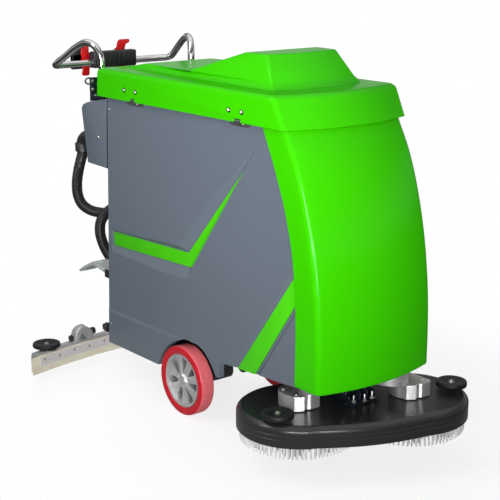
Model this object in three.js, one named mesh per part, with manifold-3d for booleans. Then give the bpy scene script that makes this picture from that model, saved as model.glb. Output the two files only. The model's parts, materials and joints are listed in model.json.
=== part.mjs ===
// Walk-behind wet dry floor scrubber: two disc brushes in front, two drive wheels, a swivel caster
// and a curved squeegee behind, a hinged lid over two tanks and two batteries.
// Millimetres, +X the machine's left, +Y the rear, +Z up. Every y below is counted from the drive axle,
// and the last lines move the whole machine so that its footprint is centred on the origin.
import * as THREE from 'three';
import { mergeVertices } from 'three/addons/utils/BufferGeometryUtils.js';
import Module from 'manifold-3d';

const wasm = await Module();
wasm.setup();

// ---------- driving dimensions ----------
const GAP = 0.3;                 // air between pieces that touch
const AXLE_Y = 32.5;             // drive axle behind the middle of the footprint

const BODY_HW = 232;             // half width over the side walls
const WALL = 24;                 // side wall thickness
const BODY_TOP = 1032;           // top edge of the walls, under the lid
const REAR_TOP_Y = 420;          // rear edge of the side walls, top and bottom
const REAR_BOTTOM_Y = 455;
const BODY_BOTTOM = 138;
const DECK_PLATE_Z = 168;        // underside of the chassis plate

const LID_HW = 247;              // half width of the lid's lower edge
const LID_BOTTOM = 1036;
const LEDGE_Z = 1131;            // flat ledge on top of the lid
const PLATEAU_Z = 1151;
const HUMP_Z = 1229;
const LID_WALL = 4.5;
const HINGE_X = -237.5;          // lid hinge axis
const HINGE_Z = 1040;
const HINGE_YS = { front: -330, rear: 236 };
const HINGE_LENGTH = 92;
const HINGE_NOTCH = 18;           // half width of the gap in the lid's edge over the body leaf's knuckle

const COVER_WALL = 5;            // front cover
const COVER_BULGE = 38;

const TYRE_R = 120;              // drive wheels
const TYRE_W = 56;
const RIM_R = 92.6;
const WHEEL_X = 205;             // middle of the tread

const CASTER_Y = 320;            // swivel axis of the rear caster
const CASTER_TRAIL = 30;
const CASTER_R = 60;

const BRUSH_X = 166;             // brush spindles: right one further back, left one further forward
const BRUSH_Y = { right: -526, left: -668 };
const BRUSH_R = 179;
const DECK_R = 189;              // skirt radius around each spindle
const DECK_BULGE = 22;
const DECK_TOP = 188;
const SKIRT_BOTTOM = 120;
const BRISTLE_BOTTOM = 82;
const ROLLER_R = 49;

const SQ_R = 1900;               // squeegee arc, front face of the front blade
const SQ_REAR_Y = 641;           // that arc's rearmost point
const SQ_HALF = 480;
const SQ_REAR_HALF = 456;         // the rear blade ends with the squeegee body
const NOZZLE_Y = 656;

const HOSE_R = 20;
const TUBE_R = 12.5;             // handle tube
const BAR_Y = 735;
const BAR_Z = 1116;

// ---------- materials ----------
const paint = (color, roughness, metalness = 0) => new THREE.MeshStandardMaterial({ color, roughness, metalness });
const GREEN = paint(0x3fd000, 0.3);
const GREY = paint(0x66717d, 0.5);
const BLACK = paint(0x1c1c1e, 0.55);
const STEEL = paint(0x3a3c40, 0.45, 0.6);
const ALUMINIUM = paint(0xb9bbbd, 0.35, 0.9);
const CHROME = paint(0xd9dcdf, 0.1, 1);
const RED = paint(0xc81e1e, 0.45);
const RUBBER = paint(0xcfc9b4, 0.7);
const BRISTLE = paint(0xf2f2ee, 0.8);
const TANK = paint(0xd8dad8, 0.5);

// ---------- shape helpers ----------
const machine = new THREE.Group();

function place(name, geometry, material, parent = machine) {
  const mesh = new THREE.Mesh(geometry, material);
  mesh.name = name;
  parent.add(mesh);
  return mesh;
}

function merged(geometry) {
  const plain = geometry.index ? geometry.toNonIndexed() : geometry.clone();
  plain.deleteAttribute('normal');
  plain.deleteAttribute('uv');
  return mergeVertices(plain, 1e-4);
}

function solid(geometry) {
  const closed = merged(geometry);
  return new wasm.Manifold(new wasm.Mesh({
    numProp: 3,
    vertProperties: new Float32Array(closed.attributes.position.array),
    triVerts: new Uint32Array(closed.index.array),
  }));
}

function geometryOf(manifold) {
  const mesh = manifold.getMesh();
  const geometry = new THREE.BufferGeometry();
  geometry.setAttribute('position', new THREE.BufferAttribute(new Float32Array(mesh.vertProperties), 3));
  geometry.setIndex(new THREE.BufferAttribute(new Uint32Array(mesh.triVerts), 1));
  return geometry;
}

// first geometry plus the others, then minus the cuts
function combine(joined, cuts = []) {
  let result = solid(joined[0]);
  for (const piece of joined.slice(1)) result = result.add(solid(piece));
  for (const cut of cuts) result = result.subtract(solid(cut));
  return geometryOf(result);
}

function box(x0, x1, y0, y1, z0, z1) {
  return new THREE.BoxGeometry(x1 - x0, y1 - y0, z1 - z0)
    .translate((x0 + x1) / 2, (y0 + y1) / 2, (z0 + z1) / 2);
}

const AXES = {
  // shape (u, v) and depth -> world
  x: new THREE.Matrix4().makeBasis(new THREE.Vector3(0, 1, 0), new THREE.Vector3(0, 0, 1), new THREE.Vector3(1, 0, 0)),
  y: new THREE.Matrix4().makeBasis(new THREE.Vector3(1, 0, 0), new THREE.Vector3(0, 0, 1), new THREE.Vector3(0, -1, 0)),
  z: new THREE.Matrix4(),
};

function shapeOf(points) {
  return points instanceof THREE.Shape ? points : new THREE.Shape(points.map(([u, v]) => new THREE.Vector2(u, v)));
}

// outline in (y, z) for axis x, (x, z) for axis y, (x, y) for axis z, extruded from low to high
function extrude(points, axis, low, high, curveSegments = 6) {
  const geometry = new THREE.ExtrudeGeometry(shapeOf(points), { depth: high - low, bevelEnabled: false, curveSegments });
  geometry.applyMatrix4(AXES[axis]);
  const shift = { x: [low, 0, 0], y: [0, high, 0], z: [0, 0, low] }[axis];
  return geometry.translate(...shift);
}

// cylinder of radius r along an axis, from low to high, centred on (a, b) in the other two axes
function rod(r, axis, low, high, a = 0, b = 0, sides = 24) {
  const geometry = new THREE.CylinderGeometry(r, r, high - low, sides);
  const middle = (low + high) / 2;
  if (axis === 'x') return geometry.rotateZ(Math.PI / 2).translate(middle, a, b);
  if (axis === 'z') return geometry.rotateX(Math.PI / 2).translate(a, b, middle);
  return geometry.translate(a, middle, b);
}

// turned piece: profile of (radius, along) points about an axis
function turned(profile, axis, sides = 32) {
  const geometry = new THREE.LatheGeometry(profile.map(([r, h]) => new THREE.Vector2(r, h)), sides);
  if (axis === 'z') geometry.rotateX(Math.PI / 2);
  if (axis === 'x') geometry.rotateZ(-Math.PI / 2);
  return geometry;
}

// closed solid through a stack of closed outlines, each {z, points: [[x, y], ...]} with equal counts
function loft(rings) {
  const count = rings[0].points.length;
  const positions = rings.flatMap((ring) => ring.points.flatMap(([x, y]) => [x, y, ring.z]));
  const index = [];
  for (let level = 0; level + 1 < rings.length; level++) {
    for (let i = 0; i < count; i++) {
      const a = level * count + i;
      const b = level * count + (i + 1) % count;
      index.push(a, b, b + count, a, b + count, a + count);
    }
  }
  const cap = (level, flip) => {
    const outline = rings[level].points.map(([x, y]) => new THREE.Vector2(x, y));
    for (const [a, b, c] of THREE.ShapeUtils.triangulateShape(outline, [])) {
      const face = [a, b, c].map((i) => i + level * count);
      index.push(...(flip ? face.reverse() : face));
    }
  };
  cap(0, true);
  cap(rings.length - 1, false);
  const geometry = new THREE.BufferGeometry();
  geometry.setAttribute('position', new THREE.Float32BufferAttribute(positions, 3));
  geometry.setIndex(index);
  return geometry;
}

// plan outline, anticlockwise: bowed front edge (low y), rounded corners, straight sides and rear
function bowedPlan({ front, rear, hwFront, hwRear = hwFront, bow, corner }) {
  const points = [];
  const bowAt = (x) => front - bow * (1 - (x / hwFront) ** 2);
  const frontSteps = 8;
  const xEnd = hwFront - corner;
  for (let i = 0; i <= frontSteps; i++) {
    const x = -xEnd + (2 * xEnd * i) / frontSteps;
    points.push([x, bowAt(x)]);
  }
  const yCorner = bowAt(xEnd);
  points.push([hwFront - corner * 0.3, yCorner + corner * 0.3], [hwFront, yCorner + corner]);
  points.push([hwRear, rear - corner], [hwRear - corner * 0.3, rear - corner * 0.3], [hwRear - corner, rear]);
  points.push([-hwRear + corner, rear], [-hwRear + corner * 0.3, rear - corner * 0.3], [-hwRear, rear - corner]);
  points.push([-hwFront, yCorner + corner], [-hwFront + corner * 0.3, yCorner + corner * 0.3]);
  return points;
}

// round tube along a smooth open curve
function tube(points, radius, steps, sides = 10) {
  const curve = new THREE.CatmullRomCurve3(points.map((p) => new THREE.Vector3(...p)), false, 'centripetal');
  const section = new THREE.Shape();
  for (let i = 0; i < sides; i++) {
    const angle = (2 * Math.PI * i) / sides;
    const [u, v] = [radius * Math.cos(angle), radius * Math.sin(angle)];
    if (i === 0) section.moveTo(u, v);
    else section.lineTo(u, v);
  }
  return new THREE.ExtrudeGeometry(section, { steps, extrudePath: curve });
}

const mirrored = (points) => points.map(([u, v]) => [-u, v]);
const SIDES = [['right', -1], ['left', 1]];

// ---------- body ----------
const rearWallY = (z) => REAR_TOP_Y + (REAR_BOTTOM_Y - REAR_TOP_Y) * (BODY_TOP - z) / (BODY_TOP - BODY_BOTTOM);
// front cover at each height: seam against the side walls, crease between its side and front
const COVER = [
  { z: 276, seam: -586.1, crease: -688 },
  { z: 485, seam: -587, crease: -684 },
  { z: 663, seam: -571, crease: -662 },
  { z: 805, seam: -534, crease: -629 },
  { z: 929, seam: -483, crease: -586 },
  { z: BODY_TOP, seam: -433, crease: -531 },
];

function bodySide() {
  const outline = new THREE.Shape();
  outline.moveTo(REAR_TOP_Y, BODY_TOP);
  outline.lineTo(-433, BODY_TOP);
  for (const { z, seam } of COVER.slice(1).reverse()) outline.lineTo(seam, z);
  outline.lineTo(-586, 272);
  outline.lineTo(-406, 260);
  outline.lineTo(-316, 256);
  outline.lineTo(-213, 244);
  outline.lineTo(-208, 191);
  outline.lineTo(-193, 191);
  outline.quadraticCurveTo(-158, 252, -95, 272);
  outline.lineTo(-27, 274);
  outline.lineTo(20, 257);
  outline.lineTo(50, 241);
  outline.lineTo(80, 219.5);
  outline.lineTo(102, 197);
  outline.lineTo(119, 171);
  outline.lineTo(131, 141);
  outline.lineTo(REAR_BOTTOM_Y, BODY_BOTTOM);
  return outline;
}
for (const [side, sign] of SIDES) {
  const inner = BODY_HW - WALL;
  const span = sign < 0 ? [-BODY_HW, -inner] : [inner, BODY_HW];
  place(`${side}_body_side`, extrude(bodySide(), 'x', ...span), GREY);
}
const REAR_WALL_T = 14;
place('rear_body_wall', extrude([
  [rearWallY(1028) - REAR_WALL_T, 1028], [rearWallY(150) - REAR_WALL_T, 150], [rearWallY(150), 150], [rearWallY(1028), 1028],
], 'x', -BODY_HW + WALL + GAP, BODY_HW - WALL - GAP), GREY);

// front cover: bowed front face whose corners lean back towards the lid
function coverRing(z, crease, seam, inset) {
  const hw = BODY_HW - inset;
  const steps = 8;
  const points = [];
  for (let i = 0; i <= steps; i++) {
    const x = -hw + 14 + (2 * (hw - 14) * i) / steps;
    points.push([x, crease + inset - COVER_BULGE * (1 - (x / hw) ** 2)]);
  }
  points.push([hw, crease + inset + 14], [hw, seam], [-hw, seam], [-hw, crease + inset + 14]);
  return { z, points };
}
const coverOuter = COVER.map(({ z, crease, seam }) => coverRing(z, crease, seam - 2 * GAP, 0));
const coverInner = COVER.map(({ z, crease, seam }) => coverRing(z, crease, seam + 30, COVER_WALL));
coverInner[0].z -= 1;
coverInner[coverInner.length - 1].z += 1;
place('front_cover', combine([loft(coverOuter)], [loft(coverInner)]), GREEN);

// ---------- lid ----------
const LID_RINGS = [
  [LID_BOTTOM, { front: -541, rear: 470, hwFront: LID_HW, bow: 52, corner: 22 }],
  [1116, { front: -498, rear: 458, hwFront: 250, bow: 52, corner: 22 }],
  [1127, { front: -489, rear: 452, hwFront: 245, bow: 50, corner: 22 }],
  [LEDGE_Z, { front: -478, rear: 443, hwFront: 236, bow: 48, corner: 22 }],
];
const HUMP_RINGS = [
  [LEDGE_Z - 8, { front: -412, rear: 428, hwFront: 178, hwRear: 150, bow: 26, corner: 10 }],
  [LEDGE_Z, { front: -407, rear: 415, hwFront: 176, hwRear: 148, bow: 26, corner: 10 }],
  [PLATEAU_Z - 1, { front: -394, rear: 312, hwFront: 169, hwRear: 140, bow: 24, corner: 10 }],
  [PLATEAU_Z, { front: -393, rear: 30, hwFront: 168, hwRear: 164, bow: 24, corner: 10 }],
  [HUMP_Z - 4, { front: -345, rear: -238, hwFront: 146, hwRear: 152, bow: 20, corner: 10 }],
  [HUMP_Z, { front: -339, rear: -246, hwFront: 138, hwRear: 142, bow: 18, corner: 10 }],
];
const shrink = (ring, by) => ({ ...ring, front: ring.front + by, rear: ring.rear - by, hwFront: ring.hwFront - by,
  hwRear: (ring.hwRear ?? ring.hwFront) - by, corner: Math.max(ring.corner - by, 3) });
const stack = (rings, by, drop) => loft(rings.map(([z, ring]) => ({ z: z - drop, points: bowedPlan(shrink(ring, by)) })));
place('lid', combine(
  [stack(LID_RINGS, 0, 0), stack(HUMP_RINGS, 0, 0)],
  [stack(LID_RINGS, LID_WALL, LID_WALL), stack(HUMP_RINGS, LID_WALL, LID_WALL + 4),
    ...Object.values(HINGE_YS).map((y) => box(-254, -236, y - HINGE_NOTCH, y + HINGE_NOTCH, 1030, HINGE_Z + 7))],
), GREEN);

for (const [where, y] of Object.entries(HINGE_YS)) {
  const half = HINGE_LENGTH / 2;
  const third = HINGE_LENGTH / 6;
  const knuckle = (y0, y1) => rod(4, 'y', y0, y1, HINGE_X, HINGE_Z, 12);
  const pinHole = rod(2.1, 'y', y - half - 1, y + half + 1, HINGE_X, HINGE_Z, 12);
  // body leaf: plate on the outside of the wall, middle knuckle and the pin
  place(`${where}_hinge_body_leaf`, combine([
    box(-234.3, -BODY_HW - GAP, y - half, y + half, 1023, 1031),
    box(-237.5, -BODY_HW - GAP, y - third + GAP, y + third - GAP, 1030, HINGE_Z),
    knuckle(y - third + GAP, y + third - GAP),
    rod(1.8, 'y', y - half, y + half, HINGE_X, HINGE_Z, 12),
  ]), STEEL);
  // lid leaf: plate on the inside of the lid's skirt, two outer knuckles
  place(`${where}_hinge_lid_leaf`, combine([
    box(-242.2, -238.5, y - half, y + half, HINGE_Z + 1, 1090),
    knuckle(y - half, y - third - GAP),
    knuckle(y + third + GAP, y + half),
  ], [pinHole, box(-244, -230, y - third - GAP, y + third + GAP, HINGE_Z - 6, HINGE_Z + 6)]), STEEL);
}

// ---------- chassis, tanks, batteries, vacuum motor ----------
const FRONT_PLATE_Z = 386;
const DRIVE_MOTOR_R = 30;
const BATTERY_FLOOR = DECK_PLATE_Z + 14;
place('chassis_frame', combine([
  box(-165, 165, -100, 132, DECK_PLATE_Z, DECK_PLATE_Z + 8),
  box(-206, 206, 131, 432, DECK_PLATE_Z, BATTERY_FLOOR),
  box(-165, -153, -100, 425, DECK_PLATE_Z - 26, DECK_PLATE_Z + 1),
  box(153, 165, -100, 425, DECK_PLATE_Z - 26, DECK_PLATE_Z + 1),
  // spine from the wheels forward to the front plate
  box(-50, 50, -100, -92, DECK_PLATE_Z, 208),
  box(-50, 50, -290, -92, 200, 208),
  box(-50, -42, -290, -92, 182, 201),
  box(42, 50, -290, -92, 182, 201),
  box(-50, 50, -290, -286, 200, 240),
  box(-165, 165, -290, -286, 232, FRONT_PLATE_Z + 4),
  box(-206, 206, -540, -286, FRONT_PLATE_Z, FRONT_PLATE_Z + 4),
], [rod(DRIVE_MOTOR_R + 0.5, 'x', -170, 170, 0, TYRE_R, 24)]), STEEL);

const TANK_FLOOR = FRONT_PLATE_Z + 5;
const TANK_WALL = 6;
place('solution_tank', combine([box(-204, 204, -480, -95, TANK_FLOOR, 1014)], [
  box(-204 + TANK_WALL, 204 - TANK_WALL, -480 + TANK_WALL, -95 - TANK_WALL, TANK_FLOOR + TANK_WALL, 1014 - TANK_WALL),
  rod(55, 'z', 1000, 1020, 100, -200),
]), TANK);
place('vacuum_motor', combine([
  rod(82, 'z', 1014 + GAP, 1034, -30, -290, 28),
  rod(66, 'z', 1030, 1108, -30, -290, 28),
  rod(24, 'y', -230, -130, -30, 1064, 16),
]), BLACK);
place('recovery_tank', combine(
  [extrude([[-88, 460], [396, 460], [396, 1018], [-88, 1018]], 'x', -204, 204)],
  [extrude([[-80, 468], [388, 468], [388, 1030], [-80, 1030]], 'x', -196, 196)],
), TANK);
for (const [side, sign] of SIDES) {
  const span = sign < 0 ? [-196, -3] : [3, 196];
  const [low, high] = [150, 428];
  const post = (y) => rod(9, 'z', 440, 452, sign * 100, y, 12);
  place(`${side}_battery`, combine([
    box(span[0], span[1], low, high, BATTERY_FLOOR + GAP, 430),
    box(span[0] + 8, span[1] - 8, low + 8, high - 8, 429, 441),
    post(low + 30), post(high - 30),
  ]), BLACK);
}

// ---------- rear console, controls ----------
const CONSOLE_HW = 225;
const CONSOLE_SLOPE = Math.atan2(1025 - 1001, 559 - 431);
const LEG_X = 190;
const LEG_Y = 504;
const consoleOutline = (inset, openBy = 0) => [
  [432.5 - openBy, 1024.7 - inset], [rearWallY(779) + 2.5 - openBy, 779 + inset], [569 - inset, 783 + inset],
  [600 - inset, 974 - inset * 0.4], [590 - inset, 990 - inset], [559 - inset * 0.6, 1001 - inset],
];
const legHole = (sign, low, high) => rod(TUBE_R + GAP, 'z', low, high, sign * LEG_X, LEG_Y, 20);
place('rear_console', combine(
  [extrude(consoleOutline(0), 'x', -CONSOLE_HW, CONSOLE_HW)],
  [extrude(consoleOutline(5, 20), 'x', -CONSOLE_HW + 5, CONSOLE_HW - 5), legHole(-1, 960, 1030), legHole(1, 960, 1030)],
), GREY);

const panel = new THREE.Group();
panel.position.set(0, 514, 1025 - (514 - 431) * Math.tan(CONSOLE_SLOPE) + GAP);
panel.rotation.x = -CONSOLE_SLOPE;
machine.add(panel);
const PANEL_T = 6;
const hole = (r, x, y) => rod(r, 'z', -1, PANEL_T + 1, x, y, 20);
const CONTROLS = { key: [-120, 8], stop: [120, 6], brush: [55, -18], vacuum: [55, 4], water: [55, 26] };
place('control_panel', combine([box(-150, 150, -32, 40, 0, PANEL_T)], [
  box(-80, 32, -22, 28, PANEL_T - 1.5, PANEL_T + 1),
  hole(9, ...CONTROLS.key), hole(9, ...CONTROLS.stop),
  hole(6.5, ...CONTROLS.brush), hole(6.5, ...CONTROLS.vacuum), hole(6.5, ...CONTROLS.water),
]), BLACK, panel);
place('key_switch', combine([
  rod(8.4, 'z', 0.5, PANEL_T + 4, ...CONTROLS.key, 20),
  box(CONTROLS.key[0] - 1.5, CONTROLS.key[0] + 1.5, CONTROLS.key[1] - 10, CONTROLS.key[1] + 10, PANEL_T + 3, PANEL_T + 24),
]), CHROME, panel);
place('emergency_stop', combine([
  rod(8.4, 'z', PANEL_T - 0.6, PANEL_T + 12, ...CONTROLS.stop, 20),
  rod(19, 'z', PANEL_T + 8, PANEL_T + 20, ...CONTROLS.stop, 24),
]), RED, panel);
for (const name of ['brush', 'vacuum', 'water']) {
  place(`${name}_button`, rod(6, 'z', PANEL_T - 3.5, PANEL_T + 3.5, ...CONTROLS[name], 16), GREY, panel);
}

// ---------- handle, control head, levers ----------
const handleHalf = [
  [-LEG_X, LEG_Y, 985], [-LEG_X, LEG_Y, 1040], [-191, LEG_Y + 1, 1110], [-196, 511, 1168], [-205, 530, 1198],
  [-216, 563, 1208], [-229, 612, 1189], [-243, 675, 1150], [-252, 716, 1125], [-246, BAR_Y - 3, 1117], [-222, BAR_Y, BAR_Z],
];
place('handle_tube', tube([
  ...handleHalf, [-110, BAR_Y, BAR_Z], [0, BAR_Y, BAR_Z], [110, BAR_Y, BAR_Z],
  ...handleHalf.map(([x, y, z]) => [-x, y, z]).reverse(),
], TUBE_R, 96), CHROME);
const bracketSide = [
  [480, 1017.5], [480, 1030], [552, 1030], [552, 1086], [560, 1086], [560, 1001.8],
].reverse();
for (const [side, sign] of SIDES) {
  const span = sign < 0 ? [-212, -168] : [168, 212];
  place(`${side}_handle_bracket`, combine([extrude(bracketSide, 'x', ...span)], [legHole(sign, 990, 1040)]), BLACK);
}

const LEVER_Y = 762;             // shaft of the two presence levers
const LEVER_Z = 1122;
place('control_head', combine([
  box(-98, 88, 709, 749, 1097, 1158),
  box(-84, 10, 745, 776, 1097, 1150),
  box(-154, 86, 772, 792, 1092, 1150),
  box(-154, -98, 772, 792, 1090, 1174),
], [rod(TUBE_R + GAP, 'x', -160, 160, BAR_Y, BAR_Z, 24), rod(5.3, 'x', -90, 20, LEVER_Y, LEVER_Z, 16)]), BLACK);
place('right_lever', combine([
  extrude([[-124, 1068], [-90, 1067], [-90, 1092], [-86, 1110], [-92, 1140], [-90, 1178], [-120, 1178], [-126, 1150],
    [-118, 1120], [-118, 1100]], 'y', 757, 762),
  rod(8, 'x', -122, -84.5, LEVER_Y, LEVER_Z, 16),
  rod(5, 'x', -85, -40, LEVER_Y, LEVER_Z, 16),
]), RED);
place('left_lever', combine([
  extrude([[18, 1070], [66, 1070], [66, 1160], [72, 1176], [88, 1180], [88, 1193], [42, 1193], [34, 1184], [30, 1164],
    [18, 1158]], 'y', 757, 762),
  rod(8, 'x', 10.5, 60, LEVER_Y, LEVER_Z, 16),
  rod(5, 'x', -38, 11, LEVER_Y, LEVER_Z, 16),
]), RED);

// ---------- drive wheels ----------
const halfTread = TYRE_W / 2;
const tyreProfile = [
  [RIM_R, -halfTread + 4], [TYRE_R - 8, -halfTread], [TYRE_R - 2, -halfTread + 4], [TYRE_R, -halfTread + 10],
  [TYRE_R, halfTread - 10], [TYRE_R - 2, halfTread - 4], [TYRE_R - 8, halfTread], [RIM_R, halfTread - 4],
  [RIM_R, -halfTread + 4],
];
const rimProfile = [
  [12.8, -20], [28, -20], [34, -8], [76, -8], [82, -24], [RIM_R - GAP, -24], [RIM_R - GAP, 24], [82, 24],
  [76, 8], [34, 8], [28, 22], [12.8, 22], [12.8, -20],
];
for (const [side, sign] of SIDES) {
  place(`${side}_tyre`, turned(tyreProfile, 'x', 40).translate(sign * WHEEL_X, 0, TYRE_R), RED);
  const rim = turned(rimProfile, 'x', 32);
  if (sign < 0) rim.rotateY(Math.PI);
  place(`${side}_rim`, rim.translate(sign * WHEEL_X, 0, TYRE_R), ALUMINIUM);
  const along = (near, far) => (sign < 0 ? [-far, -near] : [near, far]);
  place(`${side}_drive_motor`, combine([
    rod(DRIVE_MOTOR_R, 'x', ...along(30, 168), 0, TYRE_R, 24),
    rod(12.5, 'x', ...along(160, 226), 0, TYRE_R, 20),
  ]), STEEL);
}

// ---------- rear caster ----------
place('caster_plate', combine([
  box(-50, 50, CASTER_Y - 40, CASTER_Y + 40, 160, DECK_PLATE_Z - GAP),
  rod(11, 'z', 132, 162, 0, CASTER_Y, 16),
]), STEEL);
const wheelY = CASTER_Y + CASTER_TRAIL;
const forkSide = [[CASTER_Y - 30, 158], [CASTER_Y - 30, 140], [wheelY - 14, 52], [wheelY + 14, 52], [CASTER_Y + 45, 158]];
place('caster_fork', combine([
  rod(40, 'z', 150, 159, 0, CASTER_Y, 24),
  box(-31, 31, CASTER_Y - 30, CASTER_Y + 44, 149, 158),
  extrude(forkSide, 'x', -31, -26), extrude(forkSide, 'x', 26, 31),
  rod(6, 'x', -34, 34, wheelY, CASTER_R, 16),
], [rod(11.4, 'z', 120, 170, 0, CASTER_Y, 16)]), STEEL);
place('caster_wheel', turned([
  [6.4, -22], [22, -22], [24, -14], [CASTER_R - 6, -20], [CASTER_R, -12], [CASTER_R, 12], [CASTER_R - 6, 20],
  [24, 14], [22, 22], [6.4, 22], [6.4, -22],
], 'x', 32).translate(0, wheelY, CASTER_R), GREY);

// ---------- brush deck ----------
const spindle = { right: [-BRUSH_X, BRUSH_Y.right], left: [BRUSH_X, BRUSH_Y.left] };

// outline round both spindles: two arcs joined by straight lines, the front one bowed out
function deckOutline(radius) {
  const [rx, ry] = spindle.right;
  const [lx, ly] = spindle.left;
  const lean = Math.atan2(ly - ry, lx - rx);
  const arcSteps = 12;
  const points = [];
  const arc = (cx, cy, from) => {
    for (let i = 0; i <= arcSteps; i++) {
      const angle = from + (Math.PI * i) / arcSteps;
      points.push([cx + radius * Math.cos(angle), cy + radius * Math.sin(angle)]);
    }
  };
  arc(rx, ry, lean + Math.PI / 2);
  const frontSteps = 6;
  for (let i = 1; i < frontSteps; i++) {
    const t = i / frontSteps;
    const out = radius + DECK_BULGE * Math.sin(Math.PI * t);
    points.push([rx + (lx - rx) * t + out * Math.sin(lean), ry + (ly - ry) * t - out * Math.cos(lean)]);
  }
  arc(lx, ly, lean - Math.PI / 2);
  return points;
}
const deckRing = (z, inset) => ({ z, points: deckOutline(DECK_R - inset) });
place('deck_shell', combine(
  [loft([deckRing(SKIRT_BOTTOM, 0), deckRing(168, 0), deckRing(181, 7), deckRing(DECK_TOP, 19)])],
  [loft([deckRing(SKIRT_BOTTOM - 1, 7), deckRing(166, 7), deckRing(DECK_TOP - 7, 24)]),
    ...SIDES.map(([side]) => rod(26, 'z', 150, 200, ...spindle[side], 20))],
), BLACK);
place('deck_bracket', combine([
  box(-62, 62, -652, -542, DECK_TOP + GAP, 196),
  box(-52, 52, -604, -590, 195, 216),
  rod(8, 'z', 190, 380, -38, -597, 12), rod(8, 'z', 190, 380, 38, -597, 12),
]), STEEL);
place('deck_guide', combine([
  box(-49, 49, -566, -554, 280, FRONT_PLATE_Z - GAP),
  box(-49, 49, -620, -554, 280, 296),
  box(-49, 49, -566, -500, FRONT_PLATE_Z - 8, FRONT_PLATE_Z - GAP),
], [rod(8.4, 'z', 270, 300, -38, -597, 12), rod(8.4, 'z', 270, 300, 38, -597, 12)]), STEEL);

const GEARBOX_TOP = 234;
const MOTOR_OFFSET = [-58, 20];    // motor axis seen from the left spindle; the right one is its mirror image
// round on the machine's right, square on its left, with a chamfered corner and a notch in the front face
function gearboxOutline(cx, cy) {
  const outline = [
    [cx - 52, cy - 45], [cx - 26, cy - 62], [cx - 20, cy - 55], [cx - 8, cy - 55], [cx - 2, cy - 62],
    [cx + 34, cy - 62], [cx + 44, cy - 52], [cx + 44, cy + 50],
  ];
  for (let i = 0; i <= 10; i++) {
    const angle = (Math.PI * (84 + i * 12)) / 180;
    outline.push([cx + 60 * Math.cos(angle), cy + 60 * Math.sin(angle)]);
  }
  return outline;
}
for (const [side, sign] of SIDES) {
  const [cx, cy] = spindle[side];
  const [mx, my] = [cx + sign * MOTOR_OFFSET[0], cy + sign * MOTOR_OFFSET[1]];
  place(`${side}_gearbox`, extrude(gearboxOutline(cx, cy), 'z', DECK_TOP + GAP, GEARBOX_TOP), ALUMINIUM);
  place(`${side}_brush_motor`, combine([
    rod(56, 'z', GEARBOX_TOP + GAP, 322, mx, my, 28),
    rod(46, 'z', 320, 336, mx, my, 24),
  ]), ALUMINIUM);
  // disc, hub, and the ring of bristles as one turned body
  place(`${side}_brush`, turned([
    [0, 142], [92, 142], [98, BRISTLE_BOTTOM + 4], [104, BRISTLE_BOTTOM], [BRUSH_R - 1, BRISTLE_BOTTOM],
    [BRUSH_R, BRISTLE_BOTTOM + 4], [BRUSH_R - 7, 142], [BRUSH_R - 6, 158], [60, 164], [40, 164], [20, 170], [20, DECK_TOP],
    [0, DECK_TOP],
  ], 'z', 40).translate(cx, cy, 0), BRISTLE);
  const [px, py] = [cx + sign * 131, cy - 62];
  place(`${side}_deck_roller`, turned([
    [0, 190], [13, 190], [15, 198], [ROLLER_R - 4, 198], [ROLLER_R, 202], [ROLLER_R, 212], [ROLLER_R - 4, 216],
    [24, 216], [20, 209], [9, 209], [9, 215], [0, 215],
  ], 'z', 28).translate(px, py, 0), BLACK);
}

// ---------- squeegee ----------
const SQ_CENTRE_Y = SQ_REAR_Y - SQ_R;
// curved bar between two radii, over a half length, between two heights
function curvedBar(inner, outer, half, z0, z1, steps = 14) {
  const shape = [];
  for (const [radius, order] of [[outer, 1], [inner, -1]]) {
    for (let i = 0; i <= steps; i++) {
      const along = order * (1 - (2 * i) / steps);
      const angle = Math.asin(half / radius) * along;
      shape.push([radius * Math.sin(angle), SQ_CENTRE_Y + radius * Math.cos(angle)]);
    }
  }
  return extrude(shape, 'z', z0, z1);
}
const arcY = (x, radius) => SQ_CENTRE_Y + Math.sqrt(radius ** 2 - x ** 2);
const bodyR = [SQ_R + 4 + GAP, SQ_R + 32];
place('squeegee_front_blade', curvedBar(SQ_R, SQ_R + 4, SQ_HALF, 24, 78), RUBBER);
place('squeegee_rear_blade', curvedBar(bodyR[1] + GAP, bodyR[1] + 4 + GAP, SQ_REAR_HALF, 22, 84), RUBBER);
const rollerXY = { right: [-384, 641], left: [384, 641] };
place('squeegee_body', combine([
  curvedBar(...bodyR, 458, 58, 94),
  ...SIDES.map(([side, sign]) => box(...(sign < 0 ? [-404, -364] : [364, 404]), 596, 656, 90, 97)),
], [box(-30, 30, 651, 667, 50, 100)]), ALUMINIUM);
for (const [side] of SIDES) {
  place(`${side}_squeegee_roller`, turned([
    [0, 97.3], [11, 97.3], [13, 100], [46, 100], [51, 103], [51, 112], [47, 115], [24, 115], [20, 110], [8, 110], [8, 116],
    [0, 116],
  ], 'z', 28).translate(...rollerXY[side], 0), BLACK);
}
place('squeegee_nozzle', combine([
  rod(36, 'z', 94 + GAP, 100, 0, NOZZLE_Y, 24),
  rod(26, 'z', 98, 152, 0, NOZZLE_Y, 24),
  rod(37, 'z', 133, 139, 0, NOZZLE_Y, 24),
], [rod(19, 'z', 90, 160, 0, NOZZLE_Y, 20)]), BLACK);

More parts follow.
